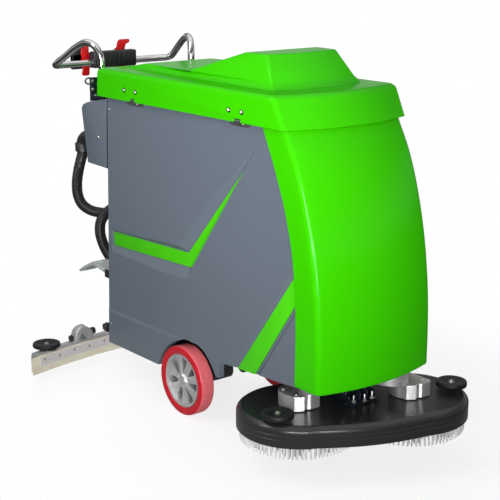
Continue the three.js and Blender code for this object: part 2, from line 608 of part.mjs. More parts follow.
const ARM_PIVOT = [180, 152];    // y, z
const armBar = [[168, 144], [192, 144], [604, 116], [622, 116], [622, 131], [604, 131], [192, 160], [168, 160]];
place('squeegee_arm', combine([
  extrude(armBar, 'x', -118, -108), extrude(armBar, 'x', 108, 118),
  box(-118, 118, 604, 622, 116, 131),
  rod(40, 'z', 116, 131, 0, NOZZLE_Y, 28),
], [rod(26.5, 'z', 110, 140, 0, NOZZLE_Y, 24), rod(6.4, 'x', -130, 130, ...ARM_PIVOT, 16)]), STEEL);
place('squeegee_pivot', combine([
  rod(6, 'x', -130, 130, ...ARM_PIVOT, 16),
  box(-130, -121, 168, 192, 144, DECK_PLATE_Z - GAP),
  box(121, 130, 168, 192, 144, DECK_PLATE_Z - GAP),
]), STEEL);

const PEDAL_PIVOT = [466, 391];  // y, z
place('lift_pedal', combine([
  extrude([[456, 384], [474, 383], [572, 400], [668, 352], [676, 358], [574, 410], [474, 397], [456, 397]], 'x', -215, -150),
  rod(11, 'x', -215, -150, ...PEDAL_PIVOT, 16),
], [rod(5.4, 'x', -220, -140, ...PEDAL_PIVOT, 12)]), GREY);
place('pedal_bracket', combine([
  box(-224, -219, rearWallY(391) + 3, 478, 376, 404),
  box(-146, -141, rearWallY(391) + 3, 478, 376, 404),
  rod(5, 'x', -224, -141, ...PEDAL_PIVOT, 12),
]), STEEL);

// ---------- suction hose ----------
place('suction_outlet', tube([
  [-185, 590, 866], [-185, 612, 868], [-185, 640, 862], [-185, 660, 848], [-185, 667, 832],
  [-185, 668.6, 818.6],
], 23, 12, 12), BLACK);
const HOSE = [
  [-185, 668.6, 818.1], [-185, 671, 798], [-185, 688, 763], [-184, 708, 722], [-183, 722, 675], [-177, 728, 630],
  [-160, 727, 592], [-128, 722, 566], [-80, 716, 550], [-25, 706, 543], [28, 692, 545], [68, 668, 558],
  [82, 634, 578], [66, 602, 597], [22, 584, 609], [-34, 580, 612], [-88, 588, 604], [-128, 602, 582],
  [-146, 620, 545], [-143, 634, 498], [-122, 644, 442], [-90, 650, 386], [-56, 654, 326], [-26, 656, 266],
  [-8, 656, 208], [0, 656, 172], [0, 656, 152.6],
];
place('suction_hose', tube(HOSE, HOSE_R, 78, 10), BLACK);

machine.position.y = AXLE_Y;
const scrubber = new THREE.Group();
scrubber.add(machine);
export default scrubber;
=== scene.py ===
"""Wet dry floor scrubber: looks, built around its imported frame.

Outlines below are in millimetres from the drive axle, as the part's own drawings are:
+X the machine's left, +Y the rear, +Z up. at() turns them into the row frame in metres.
"""
import contextlib
import json
import math
import random

import bmesh
import bpy
from mathutils import Matrix, Vector


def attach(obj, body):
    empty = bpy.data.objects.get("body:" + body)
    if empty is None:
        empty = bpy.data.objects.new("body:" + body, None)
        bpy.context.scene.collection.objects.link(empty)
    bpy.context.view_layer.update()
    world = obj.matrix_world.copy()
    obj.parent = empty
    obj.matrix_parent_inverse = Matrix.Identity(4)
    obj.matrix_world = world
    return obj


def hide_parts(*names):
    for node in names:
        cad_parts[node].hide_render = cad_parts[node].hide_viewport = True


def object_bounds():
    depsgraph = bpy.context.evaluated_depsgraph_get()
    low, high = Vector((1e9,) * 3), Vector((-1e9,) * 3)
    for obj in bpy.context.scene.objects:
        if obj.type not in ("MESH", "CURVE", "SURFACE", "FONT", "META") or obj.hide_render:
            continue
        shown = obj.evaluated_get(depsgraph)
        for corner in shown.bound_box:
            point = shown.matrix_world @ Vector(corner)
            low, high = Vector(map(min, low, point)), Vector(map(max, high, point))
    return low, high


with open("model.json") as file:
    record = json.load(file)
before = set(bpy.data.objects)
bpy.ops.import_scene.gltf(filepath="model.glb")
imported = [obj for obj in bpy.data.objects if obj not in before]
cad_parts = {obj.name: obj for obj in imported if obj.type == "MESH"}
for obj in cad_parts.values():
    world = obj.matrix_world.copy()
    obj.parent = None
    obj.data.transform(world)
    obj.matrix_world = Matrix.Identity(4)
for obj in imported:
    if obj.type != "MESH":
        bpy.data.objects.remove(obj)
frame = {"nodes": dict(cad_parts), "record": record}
CAD_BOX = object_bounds()
MM = 0.001
AXLE_Y = 32.5
RIGHT, LEFT = -1, 1
SIDES = (("right", RIGHT), ("left", LEFT))


def at(x, y, z):
    return Vector((x * MM, (y + AXLE_Y) * MM, z * MM))


# ---------------------------------------------------------------- camera, light, floor
scene = bpy.context.scene
cam_data = bpy.data.cameras.new("camera")
cam_data.lens = 86.43
cam_data.sensor_width = 36
cam_data.clip_end = 50
camera = bpy.data.objects.new("camera", cam_data)
scene.collection.objects.link(camera)
YAW, PITCH = math.radians(-38.53), math.radians(-14.71)
camera.location = at(-2414.3, -3115.7, 1572.4)
camera.rotation_euler = (math.pi / 2 + PITCH, 0, YAW)
scene.camera = camera
scene.view_settings.view_transform = "Standard"
scene.view_settings.look = "None"


def area_light(name, location, target, size, power, glossy=True, spread=180):
    data = bpy.data.lights.new(name, "AREA")
    data.shape = "RECTANGLE"
    data.size, data.size_y = size
    data.energy = power
    data.spread = math.radians(spread)
    lamp = bpy.data.objects.new(name, data)
    lamp.location = location
    lamp.rotation_euler = (Vector(target) - Vector(location)).to_track_quat("-Z", "Y").to_euler()
    lamp.visible_glossy = glossy
    scene.collection.objects.link(lamp)


area_light("key", (-2.9, -2.75, 1.30), (-0.1, -0.1, 1.22), (0.9, 1.3), 13, spread=50)
area_light("edge", (-1.8, -3.5, 0.75), (-0.2, 0.0, 0.80), (0.5, 0.9), 5, spread=50)
area_light("side_strip", (-1.75, 0.3, 2.45), (-0.2, 0.0, 0.8), (0.5, 1.8), 19)
area_light("fill", (2.6, -3.8, 1.4), (0, -0.3, 0.5), (2.4, 1.6), 7, False)
area_light("top", (-0.4, 0.8, 4.2), (0, 0, 0.6), (2.6, 2.6), 12, False)
area_light("back", (1.6, 3.8, 2.2), (0, 0, 0.7), (2.4, 1.8), 60, False)

world = bpy.data.worlds.new("studio")
scene.world = world
world.use_nodes = True
wn = world.node_tree
wn.nodes.clear()
w_out = wn.nodes.new("ShaderNodeOutputWorld")
w_mix = wn.nodes.new("ShaderNodeMixShader")
w_path = wn.nodes.new("ShaderNodeLightPath")
w_seen = wn.nodes.new("ShaderNodeBackground")
w_seen.inputs["Color"].default_value = (1, 1, 1, 1)
w_coord = wn.nodes.new("ShaderNodeTexCoord")
w_sep = wn.nodes.new("ShaderNodeSeparateXYZ")
wn.links.new(w_coord.outputs["Generated"], w_sep.inputs[0])


def sky(strength, stops):
    """Light whose grey depends on the height above the horizon: pairs of height and grey."""
    ramp = wn.nodes.new("ShaderNodeValToRGB")
    elements = ramp.color_ramp.elements
    while len(elements) < len(stops):
        elements.new(0.5)
    for element, (height, grey) in zip(elements, stops):
        element.position = height
        element.color = (grey, grey, grey, 1)
    background = wn.nodes.new("ShaderNodeBackground")
    background.inputs["Strength"].default_value = strength
    wn.links.new(w_sep.outputs["Z"], ramp.inputs[0])
    wn.links.new(ramp.outputs[0], background.inputs["Color"])
    return background


# pairs of height above the horizon and grey: one sky lights the machine, the other is mirrored in it
LIGHTING_SKY = ((0, 0.02), (0.45, 1.0), (1, 0.35))
MIRRORED_SKY = ((0, 0.06), (0.10, 0.85), (0.28, 0.10), (0.55, 0.30), (0.75, 0.95))
w_shine = wn.nodes.new("ShaderNodeMixShader")
wn.links.new(w_path.outputs["Is Glossy Ray"], w_shine.inputs[0])
wn.links.new(sky(0.42, LIGHTING_SKY).outputs[0], w_shine.inputs[1])
wn.links.new(sky(1.0, MIRRORED_SKY).outputs[0], w_shine.inputs[2])
wn.links.new(w_path.outputs["Is Camera Ray"], w_mix.inputs[0])
wn.links.new(w_shine.outputs[0], w_mix.inputs[1])
wn.links.new(w_seen.outputs[0], w_mix.inputs[2])
wn.links.new(w_mix.outputs[0], w_out.inputs[0])


# ---------------------------------------------------------------- materials
def material(name, dark, light, rough=(0.4, 0.5), metallic=0.0, scale=40.0, bump=0.02, bump_scale=220.0,
             coat=0.0, stretch=(1, 1, 1), **sockets):
    """Procedural surface: colour and roughness vary by noise, and a fine noise gives the grain."""
    mat = bpy.data.materials.new(name)
    mat.use_nodes = True
    tree = mat.node_tree
    nodes, links = tree.nodes, tree.links
    shader = nodes["Principled BSDF"]
    shader.inputs["Metallic"].default_value = metallic
    shader.inputs["Coat Weight"].default_value = coat
    shader.inputs["Coat Roughness"].default_value = 0.06
    for key, value in sockets.items():
        shader.inputs[key.replace("_", " ")].default_value = value
    coord = nodes.new("ShaderNodeTexCoord")
    mapping = nodes.new("ShaderNodeMapping")
    mapping.inputs["Scale"].default_value = stretch
    links.new(coord.outputs["Object"], mapping.inputs[0])
    noise = nodes.new("ShaderNodeTexNoise")
    noise.inputs["Scale"].default_value = scale
    noise.inputs["Detail"].default_value = 5
    links.new(mapping.outputs[0], noise.inputs["Vector"])
    ramp = nodes.new("ShaderNodeValToRGB")
    ramp.color_ramp.elements[0].position = 0.2
    ramp.color_ramp.elements[0].color = (*dark, 1)
    ramp.color_ramp.elements[1].position = 0.8
    ramp.color_ramp.elements[1].color = (*light, 1)
    links.new(noise.outputs["Fac"], ramp.inputs[0])
    links.new(ramp.outputs[0], shader.inputs["Base Color"])
    span = nodes.new("ShaderNodeMapRange")
    span.inputs["To Min"].default_value, span.inputs["To Max"].default_value = rough
    links.new(noise.outputs["Fac"], span.inputs["Value"])
    links.new(span.outputs[0], shader.inputs["Roughness"])
    grain = nodes.new("ShaderNodeTexNoise")
    grain.inputs["Scale"].default_value = bump_scale
    grain.inputs["Detail"].default_value = 3
    links.new(mapping.outputs[0], grain.inputs["Vector"])
    relief = nodes.new("ShaderNodeBump")
    relief.inputs["Strength"].default_value = bump
    relief.inputs["Distance"].default_value = 0.002
    links.new(grain.outputs["Fac"], relief.inputs["Height"])
    links.new(relief.outputs[0], shader.inputs["Normal"])
    return mat


def add_wave(mat, scale, strength, axis="Z", rings=False):
    """Regular fine lines, such as turned tool marks or a tread, on top of a material's grain."""
    tree = mat.node_tree
    shader = tree.nodes["Principled BSDF"]
    below = shader.inputs["Normal"].links[0].from_node
    wave = tree.nodes.new("ShaderNodeTexWave")
    wave.wave_type = "RINGS" if rings else "BANDS"
    if rings:
        wave.rings_direction = axis
    else:
        wave.bands_direction = axis
    wave.inputs["Scale"].default_value = scale
    wave.inputs["Distortion"].default_value = 0.6
    wave.inputs["Detail"].default_value = 2
    coord = next(n for n in tree.nodes if n.type == "TEX_COORD")
    tree.links.new(coord.outputs["Object"], wave.inputs["Vector"])
    relief = tree.nodes.new("ShaderNodeBump")
    relief.inputs["Strength"].default_value = strength
    relief.inputs["Distance"].default_value = 0.001
    tree.links.new(wave.outputs["Fac"], relief.inputs["Height"])
    tree.links.new(below.outputs[0], relief.inputs["Normal"])
    tree.links.new(relief.outputs[0], shader.inputs["Normal"])
    return mat


GREEN = material("green_plastic", (0.038, 0.525, 0.0003), (0.044, 0.560, 0.0005), (0.27, 0.34), scale=2.0,
                 bump=0.02, bump_scale=320, coat=0.14, Specular_IOR_Level=0.04)
STRIPE = material("green_foil", (0.060, 0.56, 0.002), (0.072, 0.62, 0.004), (0.40, 0.48), scale=20, bump=0.02,
                  Specular_IOR_Level=0.30)
GREY = material("grey_plastic", (0.122, 0.146, 0.181), (0.130, 0.156, 0.193), (0.34, 0.42), scale=3,
                bump=0.06, bump_scale=650)
LIGHT_GREY = material("light_grey_plastic", (0.40, 0.43, 0.44), (0.50, 0.53, 0.54), (0.35, 0.5), scale=12,
                      bump=0.05, bump_scale=500)
BLACK = material("black_plastic", (0.014, 0.014, 0.016), (0.024, 0.024, 0.027), (0.34, 0.50), scale=30,
                 bump=0.10, bump_scale=600)
DECK = material("deck_plastic", (0.019, 0.019, 0.021), (0.022, 0.022, 0.024), (0.27, 0.31), scale=3,
                bump=0.03, bump_scale=420)
RUBBER = material("black_rubber", (0.006, 0.006, 0.007), (0.012, 0.012, 0.013), (0.40, 0.56), scale=50,
                  bump=0.12, bump_scale=500, Specular_IOR_Level=0.3)
HOSE = material("hose_plastic", (0.010, 0.010, 0.011), (0.020, 0.020, 0.022), (0.26, 0.40), scale=60, bump=0.05)
BLUED = material("blued_steel", (0.020, 0.030, 0.045), (0.045, 0.062, 0.085), (0.26, 0.42), 0.85, scale=30,
                 bump=0.05)
PAINT = material("painted_steel", (0.016, 0.017, 0.019), (0.030, 0.031, 0.034), (0.38, 0.52), scale=24,
                 bump=0.06, bump_scale=300)
ZINC = material("zinc_steel", (0.42, 0.41, 0.40), (0.66, 0.65, 0.63), (0.24, 0.42), 1.0, scale=60, bump=0.04)
CHROME = material("chrome", (0.62, 0.61, 0.60), (0.80, 0.79, 0.78), (0.05, 0.11), 1.0, scale=26, bump=0.01)
CAST = material("cast_aluminium", (0.58, 0.58, 0.59), (0.76, 0.76, 0.77), (0.32, 0.46), 0.8, scale=44,
                bump=0.16, bump_scale=380)
MACHINED = add_wave(material("machined_aluminium", (0.70, 0.69, 0.68), (0.84, 0.83, 0.82), (0.36, 0.46), 0.9,
                             scale=60, bump=0.03, stretch=(1, 1, 9)), 120, 0.25)
STAINLESS = material("stainless_steel", (0.60, 0.58, 0.54), (0.82, 0.79, 0.74), (0.22, 0.38), 1.0, scale=70,
                     bump=0.05, stretch=(1, 1, 6))
BRUSHED = material("brushed_strip", (0.86, 0.81, 0.80), (0.95, 0.90, 0.89), (0.40, 0.55), 0.4, scale=50,
                   bump=0.05, stretch=(1, 1, 6))
TYRE_SIDE = material("red_polyurethane", (0.44, 0.000, 0.008), (0.66, 0.004, 0.020), (0.24, 0.40), scale=45,
                     bump=0.10, bump_scale=160)
TREAD = add_wave(material("pink_tread", (0.74, 0.115, 0.140), (0.90, 0.190, 0.215), (0.55, 0.70), scale=120,
                          bump=0.25, bump_scale=420), 75, 0.5)
RED = material("red_plastic", (0.60, 0.002, 0.006), (0.70, 0.006, 0.010), (0.26, 0.36), scale=20, bump=0.03,
               coat=0.2)
BLADE = material("blade_rubber", (0.84, 0.78, 0.60), (0.94, 0.89, 0.72), (0.36, 0.52), scale=30, bump=0.05,
                 Subsurface_Weight=0.15, Subsurface_Scale=0.004)
BRISTLE = material("nylon_bristle", (0.74, 0.74, 0.73), (0.90, 0.90, 0.89), (0.35, 0.5), scale=200, bump=0.0)
TANK = material("tank_plastic", (0.66, 0.68, 0.67), (0.76, 0.78, 0.77), (0.4, 0.55), scale=8, bump=0.05,
                Subsurface_Weight=0.1, Subsurface_Scale=0.01)
CASTER = material("grey_tyre", (0.10, 0.10, 0.105), (0.14, 0.14, 0.145), (0.5, 0.65), scale=60, bump=0.08)
SCREEN = material("display_glass", (0.010, 0.016, 0.020), (0.016, 0.024, 0.030), (0.06, 0.12), scale=12,
                  bump=0.0, coat=0.6)
LAMP = material("display_segments", (0.10, 0.55, 0.45), (0.16, 0.70, 0.58), (0.3, 0.4), scale=80, bump=0.0)
LAMP_YELLOW = material("stop_collar", (0.62, 0.42, 0.005), (0.72, 0.50, 0.010), (0.4, 0.5), scale=40, bump=0.02)
LEAD = material("battery_terminal", (0.20, 0.20, 0.21), (0.32, 0.32, 0.33), (0.4, 0.6), 1.0, scale=90, bump=0.1)
FLOOR = material("pale_floor", (0.86, 0.86, 0.86), (0.90, 0.90, 0.90), (0.7, 0.8), scale=2, bump=0.0,
                 Specular_IOR_Level=0.1, Emission_Color=(1, 1, 1, 1))
# the floor fades out away from the machine, into the white backdrop
f_nodes, f_links = FLOOR.node_tree.nodes, FLOOR.node_tree.links
f_coord = next(n for n in f_nodes if n.type == "TEX_COORD")
f_length = f_nodes.new("ShaderNodeVectorMath")
f_length.operation = "LENGTH"
f_span = f_nodes.new("ShaderNodeMapRange")
f_span.interpolation_type = "SMOOTHSTEP"
f_span.inputs["From Min"].default_value = 0.75
f_span.inputs["From Max"].default_value = 1.45
f_span.inputs["To Min"].default_value = 0.32
f_span.inputs["To Max"].default_value = 0.0
f_links.new(f_coord.outputs["Object"], f_length.inputs[0])
f_links.new(f_length.outputs["Value"], f_span.inputs["Value"])
f_shader = f_nodes["Principled BSDF"]
f_links.new(f_span.outputs[0], f_shader.inputs["Alpha"])
f_shader.inputs["Emission Strength"].default_value = 0.34

SLOTS = {
    "green_plastic": GREEN, "grey_plastic": GREY, "black_plastic": BLACK, "battery_case": BLACK,
    "tank_plastic": TANK, "red_plastic": RED, "painted_steel": PAINT, "zinc_steel": ZINC, "chrome": CHROME,
    "cast_aluminium": CAST, "red_tread": TYRE_SIDE, "grey_tyre": CASTER, "black_rubber": RUBBER,
    "squeegee_rubber": BLADE, "white_bristle": BRISTLE,
}


# ---------------------------------------------------------------- mesh helpers
def apply_modifiers(obj):
    bpy.context.view_layer.update()
    evaluated = obj.evaluated_get(bpy.context.evaluated_depsgraph_get())
    mesh = bpy.data.meshes.new_from_object(evaluated)
    obj.modifiers.clear()
    old, obj.data = obj.data, mesh
    bpy.data.meshes.remove(old)


def shade(obj, angle=32):
    obj.data.polygons.foreach_set("use_smooth", [True] * len(obj.data.polygons))
    obj.data.set_sharp_from_angle(angle=math.radians(angle))


@contextlib.contextmanager
def editing(mesh):
    """The mesh opened for editing, written back when the block ends."""
    bm = bmesh.new()
    bm.from_mesh(mesh)
    yield bm
    bm.to_mesh(mesh)
    bm.free()


def new_object(name, verts, faces):
    mesh = bpy.data.meshes.new(name)
    mesh.from_pydata([tuple(at(*v)) for v in verts], [], faces)
    with editing(mesh) as bm:
        bmesh.ops.remove_doubles(bm, verts=bm.verts, dist=1e-6)
        bmesh.ops.recalc_face_normals(bm, faces=bm.faces)
    obj = bpy.data.objects.new(name, mesh)
    scene.collection.objects.link(obj)
    return obj


def bevel(obj, width, segments=3, angle=30):
    mod = obj.modifiers.new("bevel", "BEVEL")
    mod.width = width * MM
    mod.segments = segments
    mod.limit_method = "ANGLE"
    mod.angle_limit = math.radians(angle)
    mod.use_clamp_overlap = True
    apply_modifiers(obj)
    return obj


def discard(obj):
    data = obj.data
    bpy.data.objects.remove(obj)
    bpy.data.meshes.remove(data)


def boolean(obj, other):
    """Cuts the other object's volume out of obj and drops the other."""
    mod = obj.modifiers.new("cut", "BOOLEAN")
    mod.object = other
    mod.operation = "DIFFERENCE"
    mod.solver = "EXACT"
    apply_modifiers(obj)
    discard(other)
    return obj


def join(name, objects):
    """One piece out of several closed parts of the same thing."""
    bm = bmesh.new()
    for obj in objects:
        part = obj.data.copy()
        part.transform(obj.matrix_world)
        bm.from_mesh(part)
        bpy.data.meshes.remove(part)
    mesh = bpy.data.meshes.new(name)
    bm.to_mesh(mesh)
    bm.free()
    for obj in objects:
        discard(obj)
    joined = bpy.data.objects.new(name, mesh)
    scene.collection.objects.link(joined)
    return joined


def finish_piece(obj, mat, body, replaces=(), angle=32):
    shade(obj, angle)
    if not obj.data.materials:
        obj.data.materials.append(mat)
    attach(obj, body)
    if replaces:
        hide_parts(*replaces)
    return obj


def loft(name, rings, caps=True, closed=True):
    """Skin through rings of equal length, each a list of points."""
    count = len(rings[0])
    verts = [p for ring in rings for p in ring]
    faces = []
    for level in range(len(rings) - 1):
        for i in range(count if closed else count - 1):
            a, b = level * count + i, level * count + (i + 1) % count
            faces.append((a, b, b + count, a + count))
    if caps:
        faces.append(tuple(reversed(range(count))))
        faces.append(tuple(range(len(verts) - count, len(verts))))
    return new_object(name, verts, faces)


def prism(name, outline, axis, low, high):
    """Outline in (y, z), (x, z) or (x, y) extruded along axis from low to high."""
    def point(u, v, w):
        return {"x": (w, u, v), "y": (u, w, v), "z": (u, v, w)}[axis]
    return loft(name, [[point(u, v, w) for u, v in outline] for w in (low, high)])


def block(name, x, y, z, width=2.0):
    outline = [(x[0], y[0]), (x[1], y[0]), (x[1], y[1]), (x[0], y[1])]
    return bevel(prism(name, outline, "z", *z), width)


def turned(name, profile, axis="z", centre=(0, 0, 0), steps=64, closed=False):
    """Profile of (radius, height) turned about an axis through centre."""
    rings = []
    for i in range(steps):
        angle = 2 * math.pi * i / steps
        ring = []
        for r, h in profile:
            u, v = r * math.cos(angle), r * math.sin(angle)
            x, y, z = {"z": (u, v, h), "x": (h, u, v), "y": (v, h, u)}[axis]
            ring.append((x + centre[0], y + centre[1], z + centre[2]))
        rings.append(ring)
    count = len(profile)
    verts = [p for ring in rings for p in ring]
    faces = []
    for i in range(steps):
        nxt = (i + 1) % steps
        for j in range(count if closed else count - 1):
            k = (j + 1) % count
            faces.append((i * count + j, nxt * count + j, nxt * count + k, i * count + k))
    obj = new_object(name, verts, faces)
    with editing(obj.data) as bm:
        bmesh.ops.dissolve_degenerate(bm, dist=1e-7, edges=bm.edges)
    return obj


def smooth_path(points, per_span=8):
    """Centripetal Catmull-Rom curve through the points."""
    pts = [Vector(p) for p in points]
    pts = [pts[0] * 2 - pts[1]] + pts + [pts[-1] * 2 - pts[-2]]
    out = []
    for i in range(1, len(pts) - 2):
        p0, p1, p2, p3 = pts[i - 1:i + 3]
        t0 = 0.0
        t1 = t0 + max((p1 - p0).length, 1e-9) ** 0.5
        t2 = t1 + max((p2 - p1).length, 1e-9) ** 0.5
        t3 = t2 + max((p3 - p2).length, 1e-9) ** 0.5
        for k in range(per_span):
            t = t1 + (t2 - t1) * k / per_span
            a1 = p0 * ((t1 - t) / (t1 - t0)) + p1 * ((t - t0) / (t1 - t0))
            a2 = p1 * ((t2 - t) / (t2 - t1)) + p2 * ((t - t1) / (t2 - t1))
            a3 = p2 * ((t3 - t) / (t3 - t2)) + p3 * ((t - t2) / (t3 - t2))
            b1 = a1 * ((t2 - t) / (t2 - t0)) + a2 * ((t - t0) / (t2 - t0))
            b2 = a2 * ((t3 - t) / (t3 - t1)) + a3 * ((t - t1) / (t3 - t1))
            out.append(b1 * ((t2 - t) / (t2 - t1)) + b2 * ((t - t1) / (t2 - t1)))
    out.append(pts[-2])
    return out


def resample(points, step):
    """Points a fixed step apart along a polyline."""
    out = [points[0]]
    carry = 0.0
    for a, b in zip(points, points[1:]):
        length = (b - a).length
        while carry + length >= step:
            fraction = (step - carry) / length
            a = a.lerp(b, fraction)
            out.append(a)
            length = (b - a).length
            carry = 0.0
        carry += length
    if (out[-1] - points[-1]).length > step * 0.3:
        out.append(points[-1])
    return out


def sweep(name, path, radius_at, sides=20):
    """Round tube along path; radius_at(i) gives each ring's radius."""
    rings = []
    tangent = (path[1] - path[0]).normalized()
    normal = tangent.orthogonal().normalized()
    for i, p in enumerate(path):
        ahead = path[min(i + 1, len(path) - 1)] - path[max(i - 1, 0)]
        new_tangent = ahead.normalized()
        normal = (tangent.rotation_difference(new_tangent) @ normal).normalized()
        tangent = new_tangent
        side = tangent.cross(normal)
        r = radius_at(i)
        rings.append([tuple(p + normal * (r * math.cos(a)) + side * (r * math.sin(a)))
                      for a in (2 * math.pi * k / sides for k in range(sides))])
    return loft(name, rings)


def hex_bolt(name, centre, axis, r=5.0, height=3.5, washer=7.5):
    """Domed hexagon head on a washer, standing along axis from centre."""
    rings = []
    for radius, h, sides in ((washer, 0.0, 24), (washer, 0.8, 24), (r, 0.8, 6), (r, height * 0.8, 6),
                             (r * 0.82, height, 6), (r * 0.35, height + 0.4, 6)):
        ring = []
        for k in range(24):
            a = 2 * math.pi * k / 24
            if sides == 6:
                sector = math.pi / 3
                local = (a % sector) - sector / 2
                rad = radius * math.cos(sector / 2) / math.cos(local)
            else:
                rad = radius
            ring.append((rad * math.cos(a), rad * math.sin(a), h))
        rings.append(ring)
    turn = Vector((0, 0, 1)).rotation_difference(Vector(axis)).to_matrix()
    rings = [[tuple(turn @ Vector(p) + Vector(centre)) for p in ring] for ring in rings]
    return loft(name, rings)


def fit_bolt(name, centre, axis, sizes, body="machine", mat=STAINLESS):
    """Hexagon bolt of (radius, height, washer radius) as a piece of a body."""
    return finish_piece(hex_bolt(name, centre, axis, *sizes), mat, body)


def cylinder(name, radius, low, high, axis="z", centre=(0, 0, 0), steps=32):
    return turned(name, [(0, low), (radius, low), (radius, high), (0, high)], axis, centre, steps)


def drill(obj, radius, low, high, axis, centre, steps=32):
    """Round hole from low to high along an axis through centre."""
    return boolean(obj, cylinder("cut", radius, low, high, axis, centre, steps))


def quadratic(start, control, end, s):
    """Point at s on the curve from start to end that leans towards control."""
    return tuple((1 - s) ** 2 * p + 2 * s * (1 - s) * c + s * s * q for p, c, q in zip(start, control, end))


def moved(point, du, dv):
    return (point[0] + du, point[1] + dv)


# ---------------------------------------------------------------- floor
floor_z = CAD_BOX[0][2]
floor = new_object("floor", [(-1500, -1500, 0), (1500, -1500, 0), (1500, 1500, 0), (-1500, 1500, 0)],
                   [(0, 1, 2, 3)])
floor.location.z = floor_z
floor.data.materials.append(FLOOR)

# ---------------------------------------------------------------- suction hose
HOSE_ROUTE = [
    (-185, 668.6, 818.1), (-185, 671, 798), (-185, 688, 763), (-184, 708, 722), (-183, 722, 675),
    (-177, 728, 630), (-160, 727, 592), (-128, 722, 566), (-80, 716, 550), (-25, 706, 543), (28, 692, 545),
    (68, 668, 558), (82, 634, 578), (66, 602, 597), (22, 584, 609), (-34, 580, 612), (-88, 588, 604),
    (-128, 602, 582), (-146, 620, 545), (-143, 634, 498), (-122, 644, 442), (-90, 650, 386), (-56, 654, 326),
    (-26, 656, 266), (-8, 656, 208), (0, 656, 172), (0, 656, 152.6),
]
HOSE_R = 20.0
RIB = 2.0
hose_line = resample(smooth_path(HOSE_ROUTE, 14), RIB)
hose = sweep("corrugated_hose", hose_line,
             lambda i: HOSE_R - 0.1 if i % 3 == 0 else (HOSE_R - 0.5 if i % 3 == 1 else HOSE_R - 2.4), 22)
finish_piece(hose, HOSE, "machine", ["suction_hose"], angle=60)

# ---------------------------------------------------------------- lid
def bowed_plan(z, front, rear, hw_front, hw_rear, bow, corner, front_steps=20, arc=5):
    """Plan outline at one height: bowed front edge, rounded corners, straight sides and rear."""
    x_end = hw_front - corner
    y_corner = front - bow * (1 - (x_end / hw_front) ** 2)
    half = []
    for i in range(front_steps // 2 + 1):
        x = x_end * 2 * i / front_steps
        half.append((x, front - bow * (1 - (x / hw_front) ** 2)))
    for i in range(1, arc + 1):
        t = math.pi / 2 * i / arc
        half.append((x_end + corner * math.sin(t), y_corner + corner * (1 - math.cos(t))))
    for i in range(arc + 1):
        t = math.pi / 2 * i / arc
        half.append((hw_rear - corner + corner * math.cos(t), rear - corner + corner * math.sin(t)))
    half.append((0, rear))
    other = [(-x, y) for x, y in half[1:-1]]
    return [(x, y, z) for x, y in half + other[::-1]]


def rounded_stack(stations, radius, steps=4):
    """Parameter rows with each inner row replaced by a curve that starts and ends radius away from it."""
    def distance(a, b):
        return max(math.hypot(b[0] - a[0], b[k] - a[k]) for k in range(1, 5))
    out = [stations[0]]
    for before, here, after in zip(stations, stations[1:], stations[2:]):
        back = min(radius / max(distance(here, before), 1e-6), 0.45)
        ahead = min(radius / max(distance(here, after), 1e-6), 0.45)
        start = [h + (b - h) * back for h, b in zip(here, before)]
        end = [h + (a - h) * ahead for h, a in zip(here, after)]
        out += [quadratic(start, here, end, k / steps) for k in range(steps + 1)]
    return out + [stations[-1]]


# z, front, rear, half width in front and behind, bow, corner radius
LID_SKIN = [
    (1036, -541, 470, 247, 247, 52, 22), (1122, -497, 458, 250, 250, 52, 22), (1131, -484, 446, 241, 241, 49, 22),
    (1131, -412, 419, 181, 152, 27, 12), (1151, -394, 312, 169, 140, 24, 10), (1152, -393, 30, 168, 164, 24, 10),
    (1229, -339, -240, 139, 146, 18, 10), (1229.3, -329, -250, 129, 136, 15, 8),
]
HINGE_YS = (-330, 236)


def closed_top(name, rings):
    """Skin through level rings, open at the first one and closed over the last."""
    obj = loft(name, rings, caps=False)
    top = rings[-1][0][2] * MM
    with editing(obj.data) as bm:
        rim = [e for e in bm.edges if e.is_boundary and all(abs(v.co.z - top) < 1e-5 for v in e.verts)]
        bmesh.ops.contextual_create(bm, geom=rim)
        bmesh.ops.recalc_face_normals(bm, faces=bm.faces)
    return obj


def thicken(obj, millimetres):
    mod = obj.modifiers.new("wall", "SOLIDIFY")
    mod.thickness = millimetres * MM
    mod.offset = -1
    mod.use_even_offset = True
    apply_modifiers(obj)
    return obj


lid = closed_top("lid_cover", [bowed_plan(*row) for row in rounded_stack(LID_SKIN, 7)])
thicken(lid, 4.5)
for y in HINGE_YS:
    boolean(lid, block("cut", (-256, -236), (y - 18, y + 18), (1028, 1047), 0.5))
finish_piece(lid, GREEN, "lid_assembly", ["lid"], angle=28)

for k, (y, z) in enumerate(((279, 1072), (210, 1072), (-293, 1069), (-356, 1069))):
    fit_bolt(f"lid_bolt_{k}", (-249.4, y, z), (-1, 0, 0), (4.6, 3.6, 5.4), "lid_assembly")
    washer = turned(f"lid_washer_{k}", [(0, -247), (8.2, -247), (8.2, -249.2), (7.2, -249.9), (0, -249.9)], "x",
                    (0, y, z), 32)
    finish_piece(washer, RUBBER, "lid_assembly")
seal_section = ((1046, 6), (1046, 10), (1040, 10), (1040, 6), (1046, 6))
strip = loft("lid_seal", [bowed_plan(z, -541 + inset, 470 - inset, 247 - inset, 247 - inset, 52, 18)
                          for z, inset in seal_section], caps=False)
finish_piece(strip, RUBBER, "lid_assembly")

# ---------------------------------------------------------------- front cover and body sides
# height, seam against the side walls, crease between the cover's side and front
COVER = [(276, -586.1, -688), (485, -587, -684), (663, -571, -662), (805, -534, -629), (929, -483, -586),
         (1032, -433, -531)]


